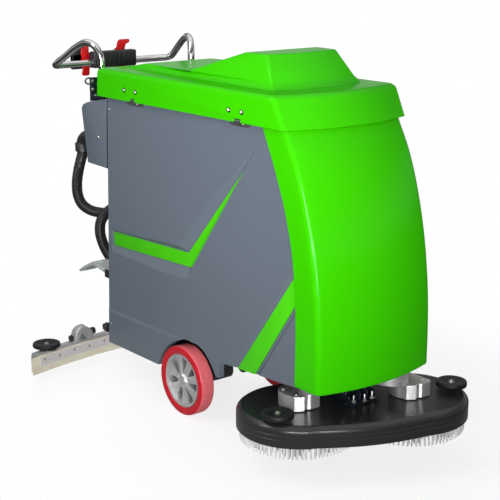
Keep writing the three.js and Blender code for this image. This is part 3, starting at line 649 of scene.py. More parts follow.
def cover_at(z):
    """(seam, crease) at a height, on a smooth curve through the table above."""
    z = min(max(z, COVER[0][0]), COVER[-1][0])
    i = max(k for k in range(len(COVER) - 1) if COVER[k][0] <= z)
    (z0, *a), (z1, *b) = COVER[i], COVER[i + 1]
    t = (z - z0) / (z1 - z0)
    result = []
    for k in range(2):
        def slope(j):
            low, high = COVER[max(j - 1, 0)], COVER[min(j + 1, len(COVER) - 1)]
            return (high[k + 1] - low[k + 1]) / (high[0] - low[0])
        m0 = 0.0 if i == 0 else slope(i)
        m1 = slope(i + 1)
        h00, h10 = 2 * t ** 3 - 3 * t ** 2 + 1, t ** 3 - 2 * t ** 2 + t
        h01, h11 = -2 * t ** 3 + 3 * t ** 2, t ** 3 - t ** 2
        result.append(h00 * a[k] + h10 * (z1 - z0) * m0 + h01 * b[k] + h11 * (z1 - z0) * m1)
    return result


BODY_HW = 232
COVER_BULGE = 38


def cover_section(z, inset=0.0):
    seam, crease = cover_at(z)
    hw, radius = BODY_HW - inset, 17
    crease += inset

    def front(x):
        return crease - COVER_BULGE * (1 - (x / hw) ** 2)
    half = []
    for i in range(13):
        x = (hw - radius) * i / 12
        half.append((x, front(x)))
    start, control, end = (hw - radius, front(hw - radius)), (hw, front(hw)), (hw, crease + radius)
    half += [quadratic(start, control, end, i / 7) for i in range(1, 8)]
    for i in range(1, 4):
        half.append((hw, (crease + radius) + (seam - 0.8 - crease - radius) * i / 3))
    other = [(-x, y) for x, y in half[1:]]
    return [(x, y, z) for x, y in other[::-1] + half]


levels = [276, 277.2, 280] + [290 + 20.3 * k for k in range(36)] + [1025, 1032]
insets = {276: 2.6, 277.2: 0.9, 1032: 0.6}
cover = loft("front_cover_shell", [cover_section(z, insets.get(z, 0.0)) for z in levels], caps=False,
             closed=False)
thicken(cover, -5 if cover.data.polygons[0].normal.y > 0 else 5)
finish_piece(cover, GREEN, "machine", ["front_cover"], angle=50)


def side_outline():
    points = [(420, 1032), (-432, 1032)]
    points += [(cover_at(z)[0] + 0.6, z) for z in range(1010, 290, -24)]
    points += [(-586, 272), (-406, 260), (-316, 256), (-213, 244), (-208, 191), (-193, 191)]
    points += [(-182, 206), (-168, 223), (-152, 240), (-135, 254), (-116, 265), (-95, 272)]
    points += [(-27, 274), (-2, 267), (20, 257), (50, 241), (80, 219.5), (102, 197), (119, 171), (131, 141)]
    return points + [(455, 138)]


def groove(name, sign, floor_ring, top_ring, floor_depth, top_depth=-1.0):
    """Cutter between an outline at floor_depth under the side face and a larger one just outside it."""
    rings = [[(sign * (BODY_HW - depth), y, z) for y, z in ring]
             for depth, ring in ((floor_depth, floor_ring), (top_depth, top_ring))]
    return loft(name, rings)


PANEL_DEPTH = 4.5          # upper body below the wheel housing's face
STRIPE_DEPTH = 15.0
FLARE = (STRIPE_DEPTH + 1) / (STRIPE_DEPTH - PANEL_DEPTH)
INNER_CORNER, OUTER_CORNER, STRIPE_TIP = (-37, 575), (-61, 522), (-359, 923)
STRIPE_REAR = ((416, 504), (416, 559))
B_LEFT = ((-576, 624), (-290, 234))      # rear edge of the lower stripe's channel, top and bottom
B_RIGHT = ((-592, 520), (-400, 244))     # its front edge

for side, sign in SIDES:
    wall = prism(f"{side}_body_wall", side_outline(), "x", *sorted((sign * BODY_HW, sign * 208)))
    with editing(wall.data) as bm:
        rear_edges = [e for e in bm.edges if all(abs(abs(v.co.x) - BODY_HW * MM) < 1e-5 for v in e.verts)
                      and all(v.co.y > at(0, 415, 0).y for v in e.verts)]
        bmesh.ops.bevel(bm, geom=rear_edges, offset=9 * MM, segments=8, affect="EDGES", profile=0.5)
    # upper body set back a little, with a chamfer down to the wheel housing
    boolean(wall, groove("cut", sign,
                         [(470, 267), (-26, 273), (-40, 90), (-640, 90), (-640, 1060), (470, 1060)],
                         [(470, 252), (-30, 259), (-30, 80), (-650, 80), (-650, 1070), (470, 1070)], PANEL_DEPTH))
    # stripe channel: rear arm with a ledge under it, then the arm that rises to the front
    boolean(wall, groove("cut", sign,
                         [STRIPE_REAR[0], OUTER_CORNER, OUTER_CORNER, STRIPE_TIP, INNER_CORNER, STRIPE_REAR[1]],
                         [moved(STRIPE_REAR[0], 1, -19 * FLARE), moved(OUTER_CORNER, 17 * FLARE, -38 * FLARE),
                          moved(OUTER_CORNER, -0.5, 0.5), moved(STRIPE_TIP, -53 * FLARE, 62 * FLARE),
                          moved(INNER_CORNER, 46 * FLARE, 14 * FLARE), moved(STRIPE_REAR[1], 0, 8 * FLARE)],
                         STRIPE_DEPTH))
    boolean(wall, groove("cut", sign, [B_LEFT[1], B_RIGHT[1], B_RIGHT[0], B_LEFT[0]],
                         [moved(B_LEFT[1], 10, 2), moved(B_RIGHT[1], -4, -4), moved(B_RIGHT[0], -4, -4),
                          moved(B_LEFT[0], 12, 8)], 8.0))
    finish_piece(wall, GREY, "machine", [f"{side}_body_side"], angle=12)

    def foil(name, outline, depth, thickness=2.2):
        low, high = sorted((sign * (BODY_HW - depth), sign * (BODY_HW - depth + thickness)))
        piece = bevel(prism(name, outline, "x", low, high), 0.6, 2)
        return finish_piece(piece, STRIPE, "machine")
    foil(f"{side}_upper_stripe", [(413, 507), (-58.5, 525.5), (-354, 915), (-38.5, 572), (413, 556)],
         STRIPE_DEPTH + 0.2)
    foil(f"{side}_lower_stripe", [(-305, 251.5), (-392, 257), (-583.5, 530), (-570.5, 604)], 8.2)
    bead = [(-404, 262), (-412, 263), (-584.5, 509), (-584, 522)]
    low, high = sorted((sign * (BODY_HW - 8.5), sign * (BODY_HW - 1.5)))
    bead = bevel(prism(f"{side}_stripe_bead", bead, "x", low, high), 2.5, 3)
    finish_piece(bead, GREY, "machine")

# ---------------------------------------------------------------- drive wheels
WHEEL_R = 120
TREAD_FROM = 0.1175       # metres from the axle where the tread starts


def tyre_profile():
    half = 28
    shoulder = [(92.6, half - 5), (96, half - 1.5), (104, half), (110, half), (115, half - 1.2),
                (118.6, half - 4), (119.8, half - 7.5), (WHEEL_R, half - 11)]
    return shoulder + [(WHEEL_R, 0)] + [(r, -h) for r, h in shoulder[::-1]]


for side, sign in SIDES:
    centre = (sign * 205, 0, WHEEL_R)
    tyre = turned(f"{side}_wheel_tyre", tyre_profile(), "x", centre, 96, closed=True)
    tyre.data.materials.append(TYRE_SIDE)
    tyre.data.materials.append(TREAD)
    middle = at(*centre)
    for face in tyre.data.polygons:
        offset = face.center - middle
        if math.hypot(offset.y, offset.z) > TREAD_FROM:
            face.material_index = 1
    finish_piece(tyre, TYRE_SIDE, f"{side}_wheel", [f"{side}_tyre"], angle=50)

    def facing_out(profile):
        """Profile whose heights count outwards from the wheel's middle."""
        return [(r, sign * h) for r, h in profile]
    parts = [turned("rim", facing_out([(92.2, 24), (88, 25), (83.5, 22), (81, 10), (81, -22), (92.2, -22)]),
                    "x", centre, 72, closed=True),
             turned("hub", facing_out([(14, 24.2), (22, 24), (26, 20), (28, 6), (28, -20), (14, -20)]),
                    "x", centre, 48, closed=True),
             turned("cap", facing_out([(0, 27), (9, 26.6), (12.5, 25), (13.6, 22), (13.6, 12), (0, 12)]),
                    "x", centre, 36)]
    spokes = 7
    for k in range(spokes):
        mid = 2 * math.pi * k / spokes + 0.2
        rings = []
        for r, half_angle, face, back in ((24, 0.44, 19.5, -2), (36, 0.32, 17, -4), (52, 0.265, 14, -6),
                                          (66, 0.25, 12, -8), (76, 0.275, 12, -9), (83, 0.34, 13, -9)):
            ring = []
            for s, h in ((-1, back), (-1, face - 3), (-0.55, face), (0, face - 1.6), (0.55, face), (1, face - 3),
                         (1, back)):
                a = mid + s * half_angle
                ring.append((centre[0] + sign * h, r * math.cos(a), centre[2] + r * math.sin(a)))
            rings.append(ring)
        parts.append(loft("spoke", rings))
    finish_piece(join(f"{side}_wheel_rim", parts), CAST, f"{side}_wheel", [f"{side}_rim"], 40)
    backing = turned(f"{side}_wheel_backing", facing_out([(14, -21), (80.5, -21), (80.5, -17), (14, -17)]),
                     "x", centre, 48, closed=True)
    finish_piece(backing, PAINT, f"{side}_wheel")
    for k in range(5):
        a = 2 * math.pi * k / 5 + 0.5
        spot = (centre[0] + sign * 23.4, 19 * math.cos(a), WHEEL_R + 19 * math.sin(a))
        fit_bolt(f"{side}_wheel_nut_{k}", spot, (sign, 0, 0), (2.6, 3.0, 3.6), f"{side}_wheel")

# ---------------------------------------------------------------- brush deck
SPINDLE = {"right": (-166, -526), "left": (166, -668)}
DECK_R = 189
DECK_BULGE = 22


def deck_outline(radius, arc=30, front=16):
    (rx, ry), (lx, ly) = SPINDLE["right"], SPINDLE["left"]
    lean = math.atan2(ly - ry, lx - rx)
    points = []

    def add_arc(cx, cy, start):
        for i in range(arc + 1):
            a = start + math.pi * i / arc
            points.append((cx + radius * math.cos(a), cy + radius * math.sin(a)))
    add_arc(rx, ry, lean + math.pi / 2)
    for i in range(1, front):
        t = i / front
        out = radius + DECK_BULGE * math.sin(math.pi * t)
        points.append((rx + (lx - rx) * t + out * math.sin(lean), ry + (ly - ry) * t - out * math.cos(lean)))
    add_arc(lx, ly, lean - math.pi / 2)
    return points


deck_rows = [(120, 1.5), (121.5, 0), (143, 0), (144, 1.2), (146, 1.2), (147, 0), (158, 0), (159, 1.2), (161, 1.2),
             (162, 0), (170, 0), (175, 1.6), (180, 5), (184, 10), (187, 14.5), (188, 18), (187.6, 20.5), (186, 23),
             (185.8, 26)]
deck = closed_top("deck_housing", [[(x, y, z) for x, y in deck_outline(DECK_R - inset)]
                                   for z, inset in deck_rows])
thicken(deck, 5)
finish_piece(deck, DECK, "deck", ["deck_shell"], angle=40)

hanger = [
    block("p", (-62, 62), (-652, -542), (188.3, 194), 2),
    block("p", (-56, -50), (-636, -560), (193, 216), 1.5), block("p", (50, 56), (-636, -560), (193, 216), 1.5),
    block("p", (-14, -9), (-640, -600), (193, 224), 1.5), block("p", (14, 19), (-640, -600), (193, 224), 1.5),
    block("p", (-50, 50), (-603, -598), (193, 226), 1.5),
]
PIN_HOLES = ((-53, -622, 206), (53, -622, 206), (-12, -628, 212), (16, -628, 212))
for plate, (x, y, z) in zip(hanger[1:5], PIN_HOLES):
    drill(plate, 4, x - 6, x + 6, "x", (0, y, z), 24)
finish_piece(join("deck_hanger", hanger), BLUED, "deck", ["deck_bracket"])
for k, x in enumerate((-38, 38)):
    rod = turned(f"deck_lift_rod_{k}", [(0, 192), (8, 192), (8, 379), (7, 380), (0, 380)], "z", (x, -597, 0), 32)
    finish_piece(rod, CHROME, "deck")
for k, (x, y) in enumerate(((-34, -634), (36, -642), (-30, -560), (32, -562), (0, -646))):
    stud = [hex_bolt("s", (x, y, 194), (0, 0, 1), 6.5, 6, 9),
            turned("s", [(0, 196), (3, 196), (3, 214), (2.2, 215.5), (0, 215.5)], "z", (x, y, 0), 16)]
    finish_piece(join(f"deck_stud_{k}", stud), STAINLESS, "deck")


def gearbox_outline(cx, cy):
    square = [(-52, -45), (-26, -62), (-20, -55), (-8, -55), (-2, -62), (34, -62), (44, -52), (44, 50)]
    arc = [math.radians(84 + 5 * i) for i in range(25)]
    return [(cx + x, cy + y) for x, y in square] + [(cx + 60 * math.cos(a), cy + 60 * math.sin(a)) for a in arc]


FILAMENT_R = 0.8
BRUSH_LIMIT_R = 178.4     # no filament stands further out than this
# ring radius, tuft spacing, filaments in a tuft, tuft radius at its root and foot, lean outwards
TUFT_RINGS = [(171.5, 12.8, 12, 1.9, 2.7, 4.4), (156, 15, 7, 1.9, 2.4, 2.0), (141, 17, 6, 1.9, 2.4, 1.0),
              (124, 19, 5, 1.9, 2.4, 0.0), (106, 21, 5, 1.9, 2.4, 0.0)]


def tufted_brush(name, cx, cy, seed):
    """Rings of separate bristle tufts, each a bundle of thin filaments that opens towards the floor."""
    rng = random.Random(seed)
    verts, faces = [], []
    for ring_r, spacing, filaments, root, foot, lean in TUFT_RINGS:
        count = int(2 * math.pi * ring_r / spacing)
        for k in range(count):
            base = 2 * math.pi * (k + 0.5 * (int(ring_r) % 2)) / count
            drift = rng.uniform(-1, 1)
            for j in range(filaments):
                turn, out = 2.4 * j, math.sqrt((j + 0.5) / filaments)
                along, across = out * math.cos(turn), out * math.sin(turn)
                first = len(verts)
                end = rng.uniform(82, 84)
                top = 143 if ring_r > 165 else 112
                for level, z in enumerate((top, (top + end) / 2, end)):
                    spread = (root, (root + foot) / 2, foot)[level]
                    r = min(ring_r + lean * level / 2 + along * spread, BRUSH_LIMIT_R)
                    ang = base + (across * spread + drift * level * 0.6) / ring_r
                    for i in range(3):
                        a = ang + 2 * math.pi * i / 3
                        verts.append((cx + r * math.cos(ang) + FILAMENT_R * math.cos(a),
                                      cy + r * math.sin(ang) + FILAMENT_R * math.sin(a), z))
                for level in range(2):
                    for i in range(3):
                        p, q = first + level * 3 + i, first + level * 3 + (i + 1) % 3
                        faces.append((p, q, q + 3, p + 3))
                faces.append((first + 2, first + 1, first))
                faces.append((first + 6, first + 7, first + 8))
    mesh = bpy.data.meshes.new(name)
    mesh.from_pydata([tuple(at(*v)) for v in verts], [], faces)
    obj = bpy.data.objects.new(name, mesh)
    scene.collection.objects.link(obj)
    return obj


MOTOR_CLEARANCE = 64       # a gearbox bolt nearer than this would stand under the motor

for side, sign in SIDES:
    cx, cy = SPINDLE[side]
    mx, my = cx - sign * 58, cy + sign * 20
    gearbox = bevel(prism(f"{side}_gear_housing", gearbox_outline(cx, cy), "z", 188.3, 234), 0.9, 2, 20)
    finish_piece(gearbox, MACHINED, "deck", [f"{side}_gearbox"], 14)
    motor = turned(f"{side}_motor_can", [(0, 234.3), (55, 234.3), (56, 235.5), (56, 248), (54.6, 249),
                                         (54.6, 251), (56, 252), (56, 316), (52, 321), (46, 322), (46, 334),
                                         (44, 336), (0, 336)], "z", (mx, my, 0), 64)
    finish_piece(motor, CAST, "deck", [f"{side}_brush_motor"], 30)
    for k in range(4):
        a = math.pi / 4 + math.pi / 2 * k
        x, y = cx + 45 * math.cos(a), cy + 45 * math.sin(a)
        if math.hypot(x - mx, y - my) >= MOTOR_CLEARANCE:
            fit_bolt(f"{side}_gearbox_bolt_{k}", (x, y, 234), (0, 0, 1), (4.5, 4, 6.5), "deck")
    body = f"{side}_disc_brush"
    # Below its flange the plate runs on as a black core, 111 to 142 mm high and out to 165 mm, behind the upper
    # half of the outer tufts. This dark fill is painted shade among the bristles.
    plate = turned(f"{side}_brush_plate", [(0, 111), (150, 111), (163, 122), (165, 142), (176, 142), (178, 144),
                                           (177, 153), (168, 158), (60, 163), (40, 164), (24, 168), (20, 172),
                                           (20, 187.5), (0, 187.5)], "z", (cx, cy, 0), 72)
    finish_piece(plate, BLACK, body, angle=30)
    finish_piece(tufted_brush(f"{side}_brush_tufts", cx, cy, 11 + sign), BRISTLE, body,
                 [f"{side}_brush"], 80)
    rx, ry = cx + sign * 131, cy - 62
    roller = turned(f"{side}_deck_bumper", [(0, 196), (20, 196), (26, 197), (45, 197), (47.5, 198.2), (49, 201),
                                            (49, 210), (47.5, 213.5), (44.5, 215), (38, 215.4), (34, 213.4),
                                            (24, 212.6), (19, 210), (9, 209.5), (0, 209.5)], "z", (rx, ry, 0), 64)
    rides = f"{side}_bumper_roller"
    finish_piece(roller, RUBBER, rides, [f"{side}_deck_roller"], 40)
    fit_bolt(f"{side}_deck_bumper_bolt", (rx, ry, 209.4), (0, 0, 1), (6.2, 6.5, 10), rides)
    post = turned(f"{side}_deck_bumper_post", [(0, 184), (14, 184), (14, 191), (11, 195.4), (0, 195.4)], "z",
                  (rx, ry, 0), 32)
    finish_piece(post, BLACK, "deck")

# ---------------------------------------------------------------- rear wall, console, control panel
def rear_y(z):
    """Rear edge of the body at a height."""
    return 420 + (1032 - z) * (455 - 420) / (1032 - 138)


CONSOLE = [(432.5, 1024.7), (rear_y(779) + 2.5, 779), (569, 783), (600, 974), (590, 990), (559, 1001)]
CONSOLE_CAVITY = [(400, 1019.7), (400, 784), (564, 788), (595, 972), (585, 985), (556, 996)]
console = bevel(prism("rear_console_shell", CONSOLE, "x", -225, 225), 3.5, 4, 20)
boolean(console, prism("cut", CONSOLE_CAVITY, "x", -220, 220))
for _, sign in SIDES:
    drill(console, 12.8, 960, 1035, "z", (sign * 190, 504, 0))
finish_piece(console, GREY, "machine", ["rear_console"])
for side, sign in SIDES:
    fit_bolt(f"{side}_console_screw", (sign * 225, 491, 885), (sign, 0, 0), (4.2, 2.6, 6.6))
    seal = [(rear_y(z) + gap, z) for z, gap in ((1020, 2.6), (1020, 7.0), (782, 7.0), (782, 2.6))]
    finish_piece(prism(f"{side}_console_seal", seal, "x", *sorted((sign * 224, sign * 226))), RUBBER, "machine")
    for k, (y, z) in enumerate(((408, 993), (430, 213))):
        spot = (sign * (BODY_HW - 4.6 + 4.6 * k), y, z)
        fit_bolt(f"{side}_wall_screw_{k}", spot, (sign, 0, 0), (3.2, 2.0, 4.8))

SLOPE = math.atan2(1025 - 1001, 559 - 431)
PANEL_TURN = Matrix.Rotation(-SLOPE, 3, "X")
PANEL_ORIGIN = Vector((0, 514, 1025 - (514 - 431) * math.tan(SLOPE) + 0.3))
CONTROLS = {"key": (-120, 8), "stop": (120, 6), "brush": (55, -18), "vacuum": (55, 4), "water": (55, 26)}


def on_panel(obj):
    """Moves a piece drawn flat at the origin onto the sloping control panel."""
    shift = Matrix.Translation(at(0, 0, 0))
    obj.data.transform(Matrix.Translation(at(*PANEL_ORIGIN)) @ PANEL_TURN.to_4x4() @ shift.inverted())
    return obj


plate = bevel(prism("panel_plate", [(-150, -32), (150, -32), (150, 40), (-150, 40)], "z", 0, 6), 1.6, 3)
boolean(plate, block("cut", (-80, 32), (-22, 28), (4.5, 12), 0.4))
for name, r in (("key", 9), ("stop", 9), ("brush", 6.5), ("vacuum", 6.5), ("water", 6.5)):
    drill(plate, r, -2, 9, "z", (*CONTROLS[name], 0))
finish_piece(on_panel(plate), BLACK, "machine", ["control_panel"])
finish_piece(on_panel(block("panel_screen", (-79, 31), (-21, 27), (4.4, 5.6), 0.5)), SCREEN, "machine")
segments = []
for digit in range(3):
    x0 = -66 + digit * 17
    for bar in ((0, 10, 16, 18), (0, 10, 8, 10), (0, 10, 0, 2), (-1, 1, 1, 8), (9, 11, 1, 8), (9, 11, 10, 17)):
        if digit != 1 or bar[0] != -1:
            segments.append(block("s", (x0 + bar[0], x0 + bar[1]), (bar[2] - 10, bar[3] - 10), (5.3, 5.9), 0.15))
for level in range(5):
    segments.append(block("s", (-8 + level * 6, -4 + level * 6), (-10, -5 + level * 4), (5.3, 5.9), 0.15))
finish_piece(on_panel(join("panel_readout", segments)), LAMP, "machine")
lines = [block("s", (64, 74), (y - 0.6, y + 0.6), (5.8, 6.3), 0.2) for y in (-18, 4, 26)]
lines += [block("s", (-132, -108), (27, 28.2), (5.8, 6.3), 0.2),
          block("s", (98, 142), (32, 33.2), (5.8, 6.3), 0.2)]
finish_piece(on_panel(join("panel_marks", lines)), LIGHT_GREY, "machine")

key_x, key_y = CONTROLS["key"]
bezel = turned("key_bezel", [(9.2, 5.6), (13, 5.6), (13, 7.4), (12, 8.4), (9.8, 8.4), (9.2, 7.8)],
               "z", (key_x, key_y, 0), 40, closed=True)
finish_piece(on_panel(bezel), CHROME, "machine")
key = [turned("k", [(0, 0.5), (8.4, 0.5), (8.4, 9.4), (7.8, 10), (2.4, 10), (0, 9.8)],
              "z", (key_x, key_y, 0), 40),
       bevel(prism("k", [(key_x - 1.4, key_y - 3.5), (key_x + 1.4, key_y - 3.5), (key_x + 1.4, key_y + 3.5),
                         (key_x - 1.4, key_y + 3.5)], "z", 9, 16), 0.4, 2)]
bow = [(key_y + 10 * math.cos(a), 21 + 8.5 * math.sin(a)) for a in (2 * math.pi * i / 28 for i in range(28))]
bow = prism("k", bow, "x", key_x - 1.4, key_x + 1.4)
drill(bow, 3.2, key_x - 4, key_x + 4, "x", (0, key_y, 25), 24)
key.append(bow)
finish_piece(on_panel(join("ignition_key", key)), CHROME, "key", ["key_switch"])
stop_x, stop_y = CONTROLS["stop"]
stop = turned("stop_mushroom", [(0, 5.4), (8.3, 5.4), (8.3, 13), (12, 14), (18, 14.2), (19, 15.4), (19, 20),
                                (18.2, 22.6), (15.5, 24.8), (10, 25.7), (0, 26)], "z", (stop_x, stop_y, 0), 56)
finish_piece(on_panel(stop), RED, "stop_button", ["emergency_stop"], 40)
finish_piece(on_panel(turned("stop_collar", [(9.2, 5.6), (21, 5.6), (21, 6.8), (19.6, 7.6), (9.2, 7.6)], "z",
                             (stop_x, stop_y, 0), 48, closed=True)), LAMP_YELLOW, "machine")
for name in ("brush", "vacuum", "water"):
    cap = turned(f"{name}_push_cap", [(0, 2.5), (6, 2.5), (6, 8.4), (5.4, 9.3), (4.6, 9.5), (3.8, 9.1), (0, 8.9)],
                 "z", (*CONTROLS[name], 0), 32)
    finish_piece(on_panel(cap), LIGHT_GREY, f"{name}_button_cap", [f"{name}_button"])

# ---------------------------------------------------------------- handle, control head, levers
LEG_X, LEG_Y, BAR_Y, BAR_Z = 190, 504, 735, 1116
half = [(-LEG_X, LEG_Y, 985), (-LEG_X, LEG_Y, 1040), (-191, LEG_Y + 1, 1110), (-196, 511, 1168),
        (-205, 530, 1198), (-216, 563, 1208), (-229, 612, 1189), (-243, 675, 1150), (-252, 716, 1125), (-246, BAR_Y - 3, 1117),
        (-222, BAR_Y, BAR_Z)]
route = half + [(x, BAR_Y, BAR_Z) for x in (-110, 0, 110)] + [(-x, y, z) for x, y, z in half[::-1]]
handle = sweep("handle_bar", resample(smooth_path(route, 24), 5.0), lambda i: 12.5, 28)
finish_piece(handle, CHROME, "machine", ["handle_tube"], 50)

L_SIDE = [(480, 1017.5), (560, 1002.5), (560, 1086), (553.5, 1086), (553.5, 1028), (551, 1025), (480, 1025)]
for side, sign in SIDES:
    base = bevel(prism("b", L_SIDE, "x", *sorted((sign * 168, sign * 212))), 1.5, 2)
    drill(base, 12.8, 990, 1040, "z", (sign * LEG_X, LEG_Y, 0))
    finish_piece(base, BLUED, "machine", [f"{side}_handle_bracket"])
    clamp = turned(f"{side}_handle_clamp", [(12.8, 1025), (20, 1025), (21, 1026), (21, 1041), (19.5, 1043),
                                            (12.8, 1043)], "z", (sign * LEG_X, LEG_Y, 0), 40, closed=True)
    finish_piece(clamp, BLACK, "machine")
    for k, z in enumerate((1070, 1042)):
        fit_bolt(f"{side}_bracket_bolt_{k}", (sign * 192, 560, z), (0, 1, 0), (4.6, 3.6, 7))
    for k, (x, z) in enumerate(((203, 1074), (203, 1045), (180, 1060))):
        fit_bolt(f"{side}_bracket_nut_{k}", (sign * x, 553.6, z), (0, -1, 0), (4.2, 4.0, 6.2))
    for k, x in enumerate((176, 204)):
        fit_bolt(f"{side}_bracket_foot_bolt_{k}", (sign * x, 534, 1025), (0, 0, 1), (4.2, 3.2, 6.4))
loop = [Vector((-205 - 12.6 * math.cos(a), 570 + 8.2 * math.cos(a), 1072 + 11 * math.sin(a)))
        for a in (math.pi + 2 * math.pi * i / 48 for i in range(48))]
finish_piece(sweep("cable_loop", loop, lambda i: 3.1, 12), BLACK, "machine", angle=60)

head = [
    block("h", (-98, 88), (710, 748), (1097.5, 1157), 6), block("h", (-84, 8), (744, 775), (1098, 1149), 5),
    block("h", (-153, 85), (773, 791), (1093, 1149), 5), block("h", (-153, -99), (773, 791), (1091, 1173), 5),
]
for part in head:
    drill(part, 12.9, -170, 170, "x", (0, BAR_Y, BAR_Z), 40)
finish_piece(join("handle_control_head", head), BLACK, "machine", ["control_head"], 30)
ribs = [block("r", (x, x + 4), (708, 712), (1104, 1150), 1) for x in (-70, -50, -30, -10, 10, 30, 50)]
finish_piece(join("head_ribs", ribs), BLACK, "machine")
for k, (x, z) in enumerate(((-140, 1104), (-112, 1162), (72, 1104), (72, 1138), (-140, 1162))):
    fit_bolt(f"head_screw_{k}", (x, 790.6, z), (0, 1, 0), (3.4, 1.8, 4.6), mat=ZINC)


def lever(name, body, outline, hub, peg, node):
    parts = [bevel(prism("l", outline, "y", 757.2, 761.8), 1.6, 3, 25),
             cylinder("l", 8, *hub, "x", (0, 762, 1122)),
             cylinder("l", 5, *peg, "x", (0, 762, 1122), 24)]
    return finish_piece(join(name, parts), RED, body, [node])


def rounded(outline, reach=6.0, steps=3):
    """Outline with each corner cut by a short curve."""
    out = []
    for k, here in enumerate(outline):
        start, end = (tuple(h + (o - h) * min(reach / math.dist(here, other), 0.42) for h, o in zip(here, other))
                      for other in (outline[k - 1], outline[(k + 1) % len(outline)]))
        out += [quadratic(start, here, end, i / steps) for i in range(steps + 1)]
    return out


lever("right_presence_paddle", "right_presence_lever",
      rounded([(-124, 1068), (-90, 1067), (-90, 1092), (-86, 1110), (-92, 1140), (-90, 1178), (-120, 1178),
               (-126, 1150), (-118, 1120), (-118, 1100)], 9), (-122, -84.5), (-85, -40), "right_lever")
lever("left_presence_paddle", "left_presence_lever",
      rounded([(18, 1070), (66, 1070), (66, 1160), (72, 1176), (88, 1180), (88, 1193), (42, 1193), (34, 1184),
               (30, 1164), (18, 1158)], 7), (10.5, 60), (-38, 11), "left_lever")

# ---------------------------------------------------------------- rear caster, axles
CASTER_Y, CASTER_WHEEL_Y = 320, 350
profile = [(47, -17), (53, -19.6), (56.5, -18.4), (59, -15), (60, -10), (60, 10), (59, 15), (56.5, 18.4),
           (53, 19.6), (47, 17)]
tyre = turned("caster_tyre", profile, "x", (0, CASTER_WHEEL_Y, 60), 64, closed=True)
finish_piece(tyre, CASTER, "caster_roller", ["caster_wheel"], 50)
core = [(6.6, -21.6), (16, -21.8), (20, -18), (23, -10), (42, -12), (46.9, -15.5), (46.9, 15.5), (42, 12),
        (23, 10), (20, 18), (16, 21.8), (6.6, 21.6)]
core = turned("caster_core", core, "x", (0, CASTER_WHEEL_Y, 60), 56, closed=True)
finish_piece(core, LIGHT_GREY, "caster_roller", angle=35)
fork_side = rounded([(290, 158), (290, 140), (CASTER_WHEEL_Y - 14, 50), (CASTER_WHEEL_Y + 14, 50), (365, 158)], 8)
fork = [bevel(prism("f", fork_side, "x", low, high), 0.8, 2) for low, high in ((-31, -26), (26, 31))]
fork.append(block("f", (-31, 31), (291, 364), (150, 158), 2))
fork.append(turned("f", [(12, 150.5), (36, 150.5), (39, 152.5), (39, 157), (36, 159), (12, 159)], "z",
                   (0, CASTER_Y, 0), 48, closed=True))
fork.append(turned("f", [(0, -36), (5, -36), (8.5, -35), (8.5, -31), (5.8, -31), (5.8, 31), (8.5, 31), (8.5, 35),
                         (5, 36), (0, 36)], "x", (0, CASTER_WHEEL_Y, 60), 24))
finish_piece(join("caster_yoke", fork), ZINC, "caster", ["caster_fork"])

# ---------------------------------------------------------------- squeegee
SQ_R, SQ_CENTRE_Y = 1900, 641 - 1900


def arc_y(x, radius):
    return SQ_CENTRE_Y + math.sqrt(radius ** 2 - x ** 2)


def curved_bar(name, section, x_low, x_high, step=12.0):
    """Closed section of (radius, height) carried along the squeegee's arc."""
    count = max(2, int((x_high - x_low) / step))
    rings = []
    for i in range(count + 1):
        angle = math.asin((x_low + (x_high - x_low) * i / count) / (SQ_R + 18))
        rings.append([(r * math.sin(angle), SQ_CENTRE_Y + r * math.cos(angle), z) for r, z in section])
    return loft(name, rings)


def blade_section(r0, r1, z0, z1):
    return [(r0, z0), (r1 - 0.8, z0), (r1, z0 + 0.8), (r1, z1 - 0.8), (r1 - 0.8, z1), (r0, z1)]


finish_piece(curved_bar("front_lip", blade_section(1900.2, 1904, 24, 88), -479.5, 479.5), BLADE, "squeegee",
             ["squeegee_front_blade"])
finish_piece(curved_bar("rear_lip", blade_section(1932.4, 1936.2, 22, 85), -456, 456), BLADE, "squeegee",
             ["squeegee_rear_blade"])
channel = [(1904.4, 60), (1907, 58), (1929, 58), (1931.8, 60), (1931.8, 96), (1929.6, 98.2), (1906.6, 98.2),
           (1904.4, 96)]
body = curved_bar("squeegee_channel", channel, -457, 457)
boolean(body, block("cut", (-30, 30), (651, 667), (50, 104), 0.5))
finish_piece(body, CAST, "squeegee", ["squeegee_body"])
for name, low, high, z0, z1, half in (("front_clamp_strip", 1898.2, 1900.0, 50, 85, 446),
                                      ("rear_clamp_strip", 1936.4, 1938.0, 52, 84, 446)):
    strip = curved_bar(name, [(low, z0), (high, z0), (high, z1), (low, z1)], -half, half)
    for sign in (-1, 1):
        for z, turn in ((z0, 1), (z1, -1)):
            x = sign * half
            corner = [(x, z), (x - sign * 9, z), (x - sign * 4, z + turn * 2), (x - sign * 1.6, z + turn * 5),
                      (x, z + turn * 9)]
            # the cutter reaches 2 mm past the strip's end and edge
            corner = [(u + (sign * 2 if abs(u - x) < 0.1 else 0), v - (turn * 2 if v == z else 0))
                      for u, v in corner]
            boolean(strip, prism("cut", corner, "y", 560, 700))
    finish_piece(strip, BRUSHED, "squeegee")
for k in range(13):
    x = -420 + 70 * k
    for where, r, out in (("front", 1898.2, -1), ("rear", 1938.0, 1)):
        angle = math.asin(x / r)
        spot = (r * math.sin(angle), SQ_CENTRE_Y + r * math.cos(angle), 68 if k % 2 else 72)
        outwards = (out * math.sin(angle), out * math.cos(angle), 0)
        fit_bolt(f"{where}_strip_bolt_{k}", spot, outwards, (3.4, 2.8, 5.4), "squeegee", ZINC)
